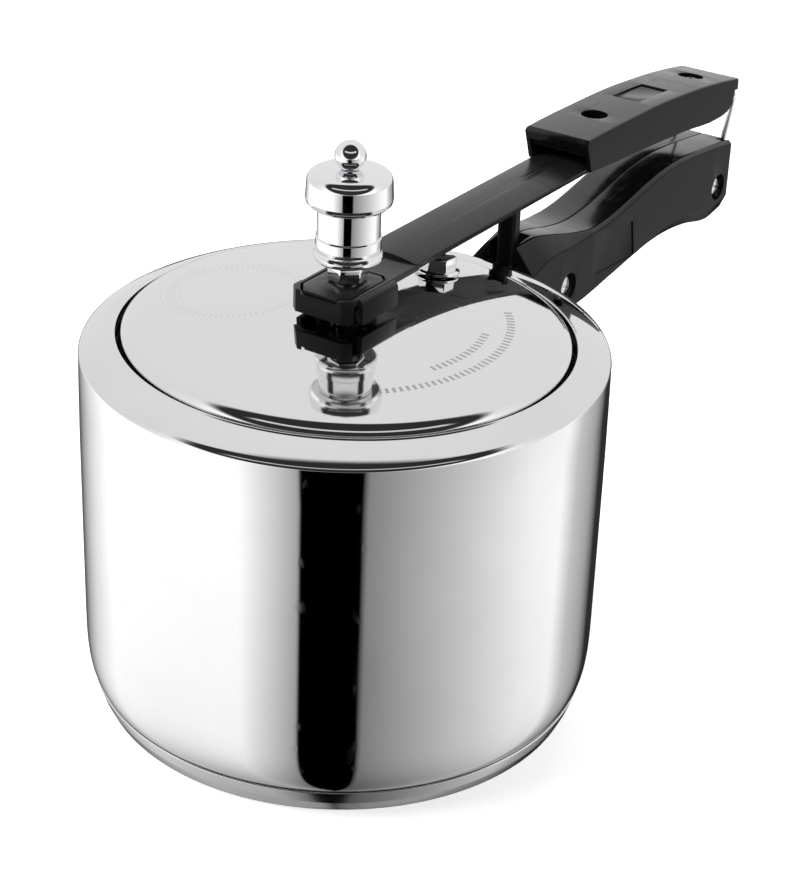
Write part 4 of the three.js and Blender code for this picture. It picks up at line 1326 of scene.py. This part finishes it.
class COOKER_OT_fasteners(bpy.types.Operator):
    """The screws and nuts of both grips, from two fastener trees"""

    bl_idname = "cooker.fasteners"
    bl_label = "Fasteners"

    def execute(self, context):
        screws = screw_tree()
        nuts = nut_tree()
        zinc = finish("zinc steel")
        high = low_high("handle_screw_front")[1]
        head_y = -10.9
        first, second = [Vector((x, head_y, z)) * MM for x, z in HANDLE_SCREWS]
        handle = fasteners("handle_screws", screws, {
            "First": first, "Second": second, "Turn": (math.pi / 2, 0.4, 0),
            "Head Radius": 4.6 * MM, "Head Height": 2.2 * MM, "Shank Radius": 2.0 * MM,
            "Shank Length": (high.y - head_y) * MM,
        }, zinc)
        piece(handle, zinc, "vessel", "zinc_steel", "handle_screw_front", "handle_screw_rear")
        seat = low_high("handle_nut_front")[0].y
        first, second = [Vector((x, seat, z)) * MM for x, z in HANDLE_SCREWS]
        handle_nuts = fasteners("handle_nuts", nuts, {
            "First": first, "Second": second, "Turn": (-math.pi / 2, 0, 0),
            "Corner Radius": 8 / math.sqrt(3) * MM, "Height": 2.7 * MM, "Bore": 2.3 * MM,
        }, zinc)
        piece(handle_nuts, zinc, "vessel", "zinc_steel", "handle_nut_front", "handle_nut_rear")
        low, high = low_high("grip_screw_front")
        seat = 158.7
        first, second = [Vector((x, 0, seat)) * MM for x, _ in GRIP_SCREWS]
        grip = fasteners("grip_screws", screws, {
            "First": first, "Second": second, "Turn": (0, 0, 0.5),
            "Head Radius": 4.2 * MM, "Head Height": (high.z - seat) * MM, "Shank Radius": 2.0 * MM,
            "Shank Length": (seat - low.z) * MM,
        }, zinc)
        piece(grip, zinc, "lever", "zinc_steel", "grip_screw_front", "grip_screw_rear")
        low, high = low_high("grip_nut_front")
        first, second = [Vector((x, 0, low.z)) * MM for x, _ in GRIP_SCREWS]
        grip_nuts = fasteners("grip_nuts", nuts, {
            "First": first, "Second": second, "Turn": (0, 0, 0),
            "Corner Radius": 7.5 / math.sqrt(3) * MM, "Height": (high.z - low.z) * MM, "Bore": 2.3 * MM,
        }, zinc)
        piece(grip_nuts, zinc, "lever", "zinc_steel", "grip_nut_front", "grip_nut_rear")
        return {"FINISHED"}


# ---------------------------------------------------------------- stage

CAMERA_PLACE = (-0.5510, -0.3801, 0.4483)
CAMERA_TURN = (62.295, -1.930, -56.049)
CAMERA_LENS = 90.78
FRONT_TURN = math.atan2(CAMERA_PLACE[1], CAMERA_PLACE[0])
CANOPY_MIDDLE = (-0.55, -0.38, 0.743)  # the direction of the dark canopy's middle


def make_camera(context):
    data = bpy.data.cameras.new("camera")
    data.lens = CAMERA_LENS
    data.sensor_width = 36
    data.clip_start = 0.01
    camera = bpy.data.objects.new("camera", data)
    camera.location = CAMERA_PLACE
    camera.rotation_euler = [math.radians(a) for a in CAMERA_TURN]
    context.scene.collection.objects.link(camera)
    context.scene.camera = camera
    context.scene.view_settings.view_transform = "Standard"


def turn_from_front(tree, x, y):
    """How far round the cooker a direction lies from its front, from -pi to pi."""
    c = math.cos(FRONT_TURN)
    s = math.sin(FRONT_TURN)
    ahead = maths(tree, "ADD", maths(tree, "MULTIPLY", x, c), maths(tree, "MULTIPLY", y, s))
    aside = maths(tree, "SUBTRACT", maths(tree, "MULTIPLY", y, c), maths(tree, "MULTIPLY", x, s))
    return maths(tree, "ARCTAN2", aside, ahead)


def graded(tree, value, low, high, stops):
    """A run of brightness levels over a value: stops are (value, level)."""
    span = {"Value": value, "From Min": low, "From Max": high}
    share = add(tree, "ShaderNodeMapRange", span).outputs["Result"]
    ramp = add(tree, "ShaderNodeValToRGB", {"Fac": share})
    marks = ramp.color_ramp.elements
    while len(marks) < len(stops):
        marks.new(0.5)
    for mark, (place, level) in zip(marks, stops):
        mark.position = (place - low) / (high - low)
        mark.color = (level, level, level, 1)
    return ramp.outputs["Color"]


def make_world(context):
    """A bright studio for the mirrors to show: a dark canopy over the front and a black flag below it.

    The angles run round from the front. Below the horizon the levels stand for the lit floor.
    """
    world = bpy.data.worlds.new("studio")
    context.scene.world = world
    world.use_nodes = True
    tree = world.node_tree
    background = tree.nodes["Background"]
    direction = add(tree, "ShaderNodeTexCoord").outputs["Generated"]
    apart = add(tree, "ShaderNodeSeparateXYZ", {"Vector": direction}).outputs
    degrees = maths(tree, "MULTIPLY", turn_from_front(tree, apart["X"], apart["Y"]), 180 / math.pi)
    height = apart["Z"]
    facing = between(tree, maths(tree, "ABSOLUTE", degrees), 60, 50)
    below = graded(tree, degrees, -180, 180, [
        (-180, 0.03), (-160, 0.15), (-138, 0.86), (-120, 1.3), (-44, 1.27), (-36, 0.98), (-18.4, 0.46),
        (-16.9, 0.0), (9, 0.0), (10.5, 0.27), (45, 0.6), (90, 1.09), (109, 1.17), (121, 0.66), (137, 0.42),
        (150, 0.03), (180, 0.03),
    ])
    dimming = graded(tree, height, -1, 0, [(-1, 0.3), (-0.85, 0.5), (-0.65, 0.82), (-0.5, 1.0), (0, 1.0)])
    floor_light = blended(tree, dimming, below, None, "MULTIPLY")
    above = graded(tree, degrees, -180, 180, [
        (-180, 0.86), (-100, 0.84), (-80, 0.95), (-60, 1.3), (60, 1.3), (80, 0.95), (100, 0.86), (180, 0.86),
    ])
    canopy = add(tree, "ShaderNodeVectorMath", {0: direction, 1: CANOPY_MIDDLE}, operation="DOT_PRODUCT")
    shade = between(tree, canopy.outputs["Value"], 0.48, 0.62)
    above = blended(tree, above, (0.03, 0.03, 0.03, 1), shade, "MIX")
    strip = maths(tree, "MULTIPLY", between(tree, height, 0.56, 0.62), between(tree, height, 0.74, 0.7))
    sky = blended(tree, above, (0.75, 0.75, 0.75, 1), maths(tree, "MULTIPLY", strip, facing), "MIX")
    studio = blended(tree, floor_light, sky, between(tree, height, -0.2, -0.1), "MIX")
    tree.links.new(studio, background.inputs["Color"])
    background.inputs["Strength"].default_value = 1.0


def blended(tree, first, second, share, mode):
    """Mixes two colours, or multiplies them where no share is given."""
    mix = add(tree, "ShaderNodeMix", data_type="RGBA", blend_type=mode)
    mix.clamp_result = False
    mix.inputs["Factor"].default_value = 1.0
    for value, key in ((share, "Factor"), (first, "A"), (second, "B")):
        if isinstance(value, bpy.types.NodeSocket):
            tree.links.new(value, mix.inputs[key])
        elif value is not None:
            mix.inputs[key].default_value = value
    return mix.outputs["Result"]


def make_floor(context):
    """The plain pale floor. The mirrors see the studio's own light in its place."""
    floor = put("floor", box("floor", (-9000, -9000, -20), (9000, 9000, -0.05)))
    material, tree, shader, place = new_material("floor")
    shader.inputs["Base Color"].default_value = (*context.scene.cooker_colours.floor, 1)
    tree.links.new(scaled(tree, noise(tree, place, 30.0), 0.75, 0.9), shader.inputs["Roughness"])
    shader.inputs["Specular IOR Level"].default_value = 0.1
    shader.inputs["Emission Color"].default_value = (1, 1, 1, 1)
    shader.inputs["Emission Strength"].default_value = 0.45
    floor.data.materials.append(material)
    floor.visible_glossy = False


def make_lights():
    """Three soft lamps that light the floor and the dull pieces and leave no shape in the mirrors."""
    for name, place, size, power in (
        ("key", (-0.7, 0.9, 1.5), 1.2, 22.0),
        ("fill", (-0.9, -1.1, 1.1), 1.0, 9.0),
        ("rim", (1.2, 0.5, 0.9), 0.8, 8.0),
    ):
        data = bpy.data.lights.new(name, "AREA")
        data.size = size
        data.energy = power
        lamp = bpy.data.objects.new(name, data)
        lamp.location = place
        lamp.rotation_euler = (Vector((0.05, 0, 0.1)) - Vector(place)).to_track_quat("-Z", "Y").to_euler()
        lamp.visible_glossy = False
        bpy.context.scene.collection.objects.link(lamp)


# ---------------------------------------------------------------- add-on

OPERATORS = (
    COOKER_OT_materials,
    COOKER_OT_stage,
    COOKER_OT_vessel,
    COOKER_OT_base,
    COOKER_OT_lid,
    COOKER_OT_vent,
    COOKER_OT_safety_valve,
    COOKER_OT_weight,
    COOKER_OT_lever_bar,
    COOKER_OT_lid_grip,
    COOKER_OT_body_handle,
    COOKER_OT_locking_loop,
    COOKER_OT_fasteners,
)


class COOKER_PT_panel(bpy.types.Panel):
    """The cooker's sizes, colours and building steps"""

    bl_idname = "COOKER_PT_panel"
    bl_label = "Pressure Cooker"
    bl_space_type = "VIEW_3D"
    bl_region_type = "UI"
    bl_category = "Cooker"

    def draw(self, context):
        column = self.layout.column(align=True)
        for key in CookerSizes.__annotations__:
            column.prop(context.scene.cooker_sizes, key)
        for key in CookerColours.__annotations__:
            column.prop(context.scene.cooker_colours, key)
        for operator in OPERATORS:
            column.operator(operator.bl_idname)


CLASSES = (CookerSizes, CookerColours, *OPERATORS, COOKER_PT_panel)


def register():
    for each in CLASSES:
        bpy.utils.register_class(each)
    bpy.types.Scene.cooker_sizes = PointerProperty(type=CookerSizes)
    bpy.types.Scene.cooker_colours = PointerProperty(type=CookerColours)


def unregister():
    del bpy.types.Scene.cooker_colours
    del bpy.types.Scene.cooker_sizes
    for each in reversed(CLASSES):
        bpy.utils.unregister_class(each)


def main():
    register()
    for operator in OPERATORS:
        area, name = operator.bl_idname.split(".")
        getattr(getattr(bpy.ops, area), name)()


if __name__ == "__main__":
    main()
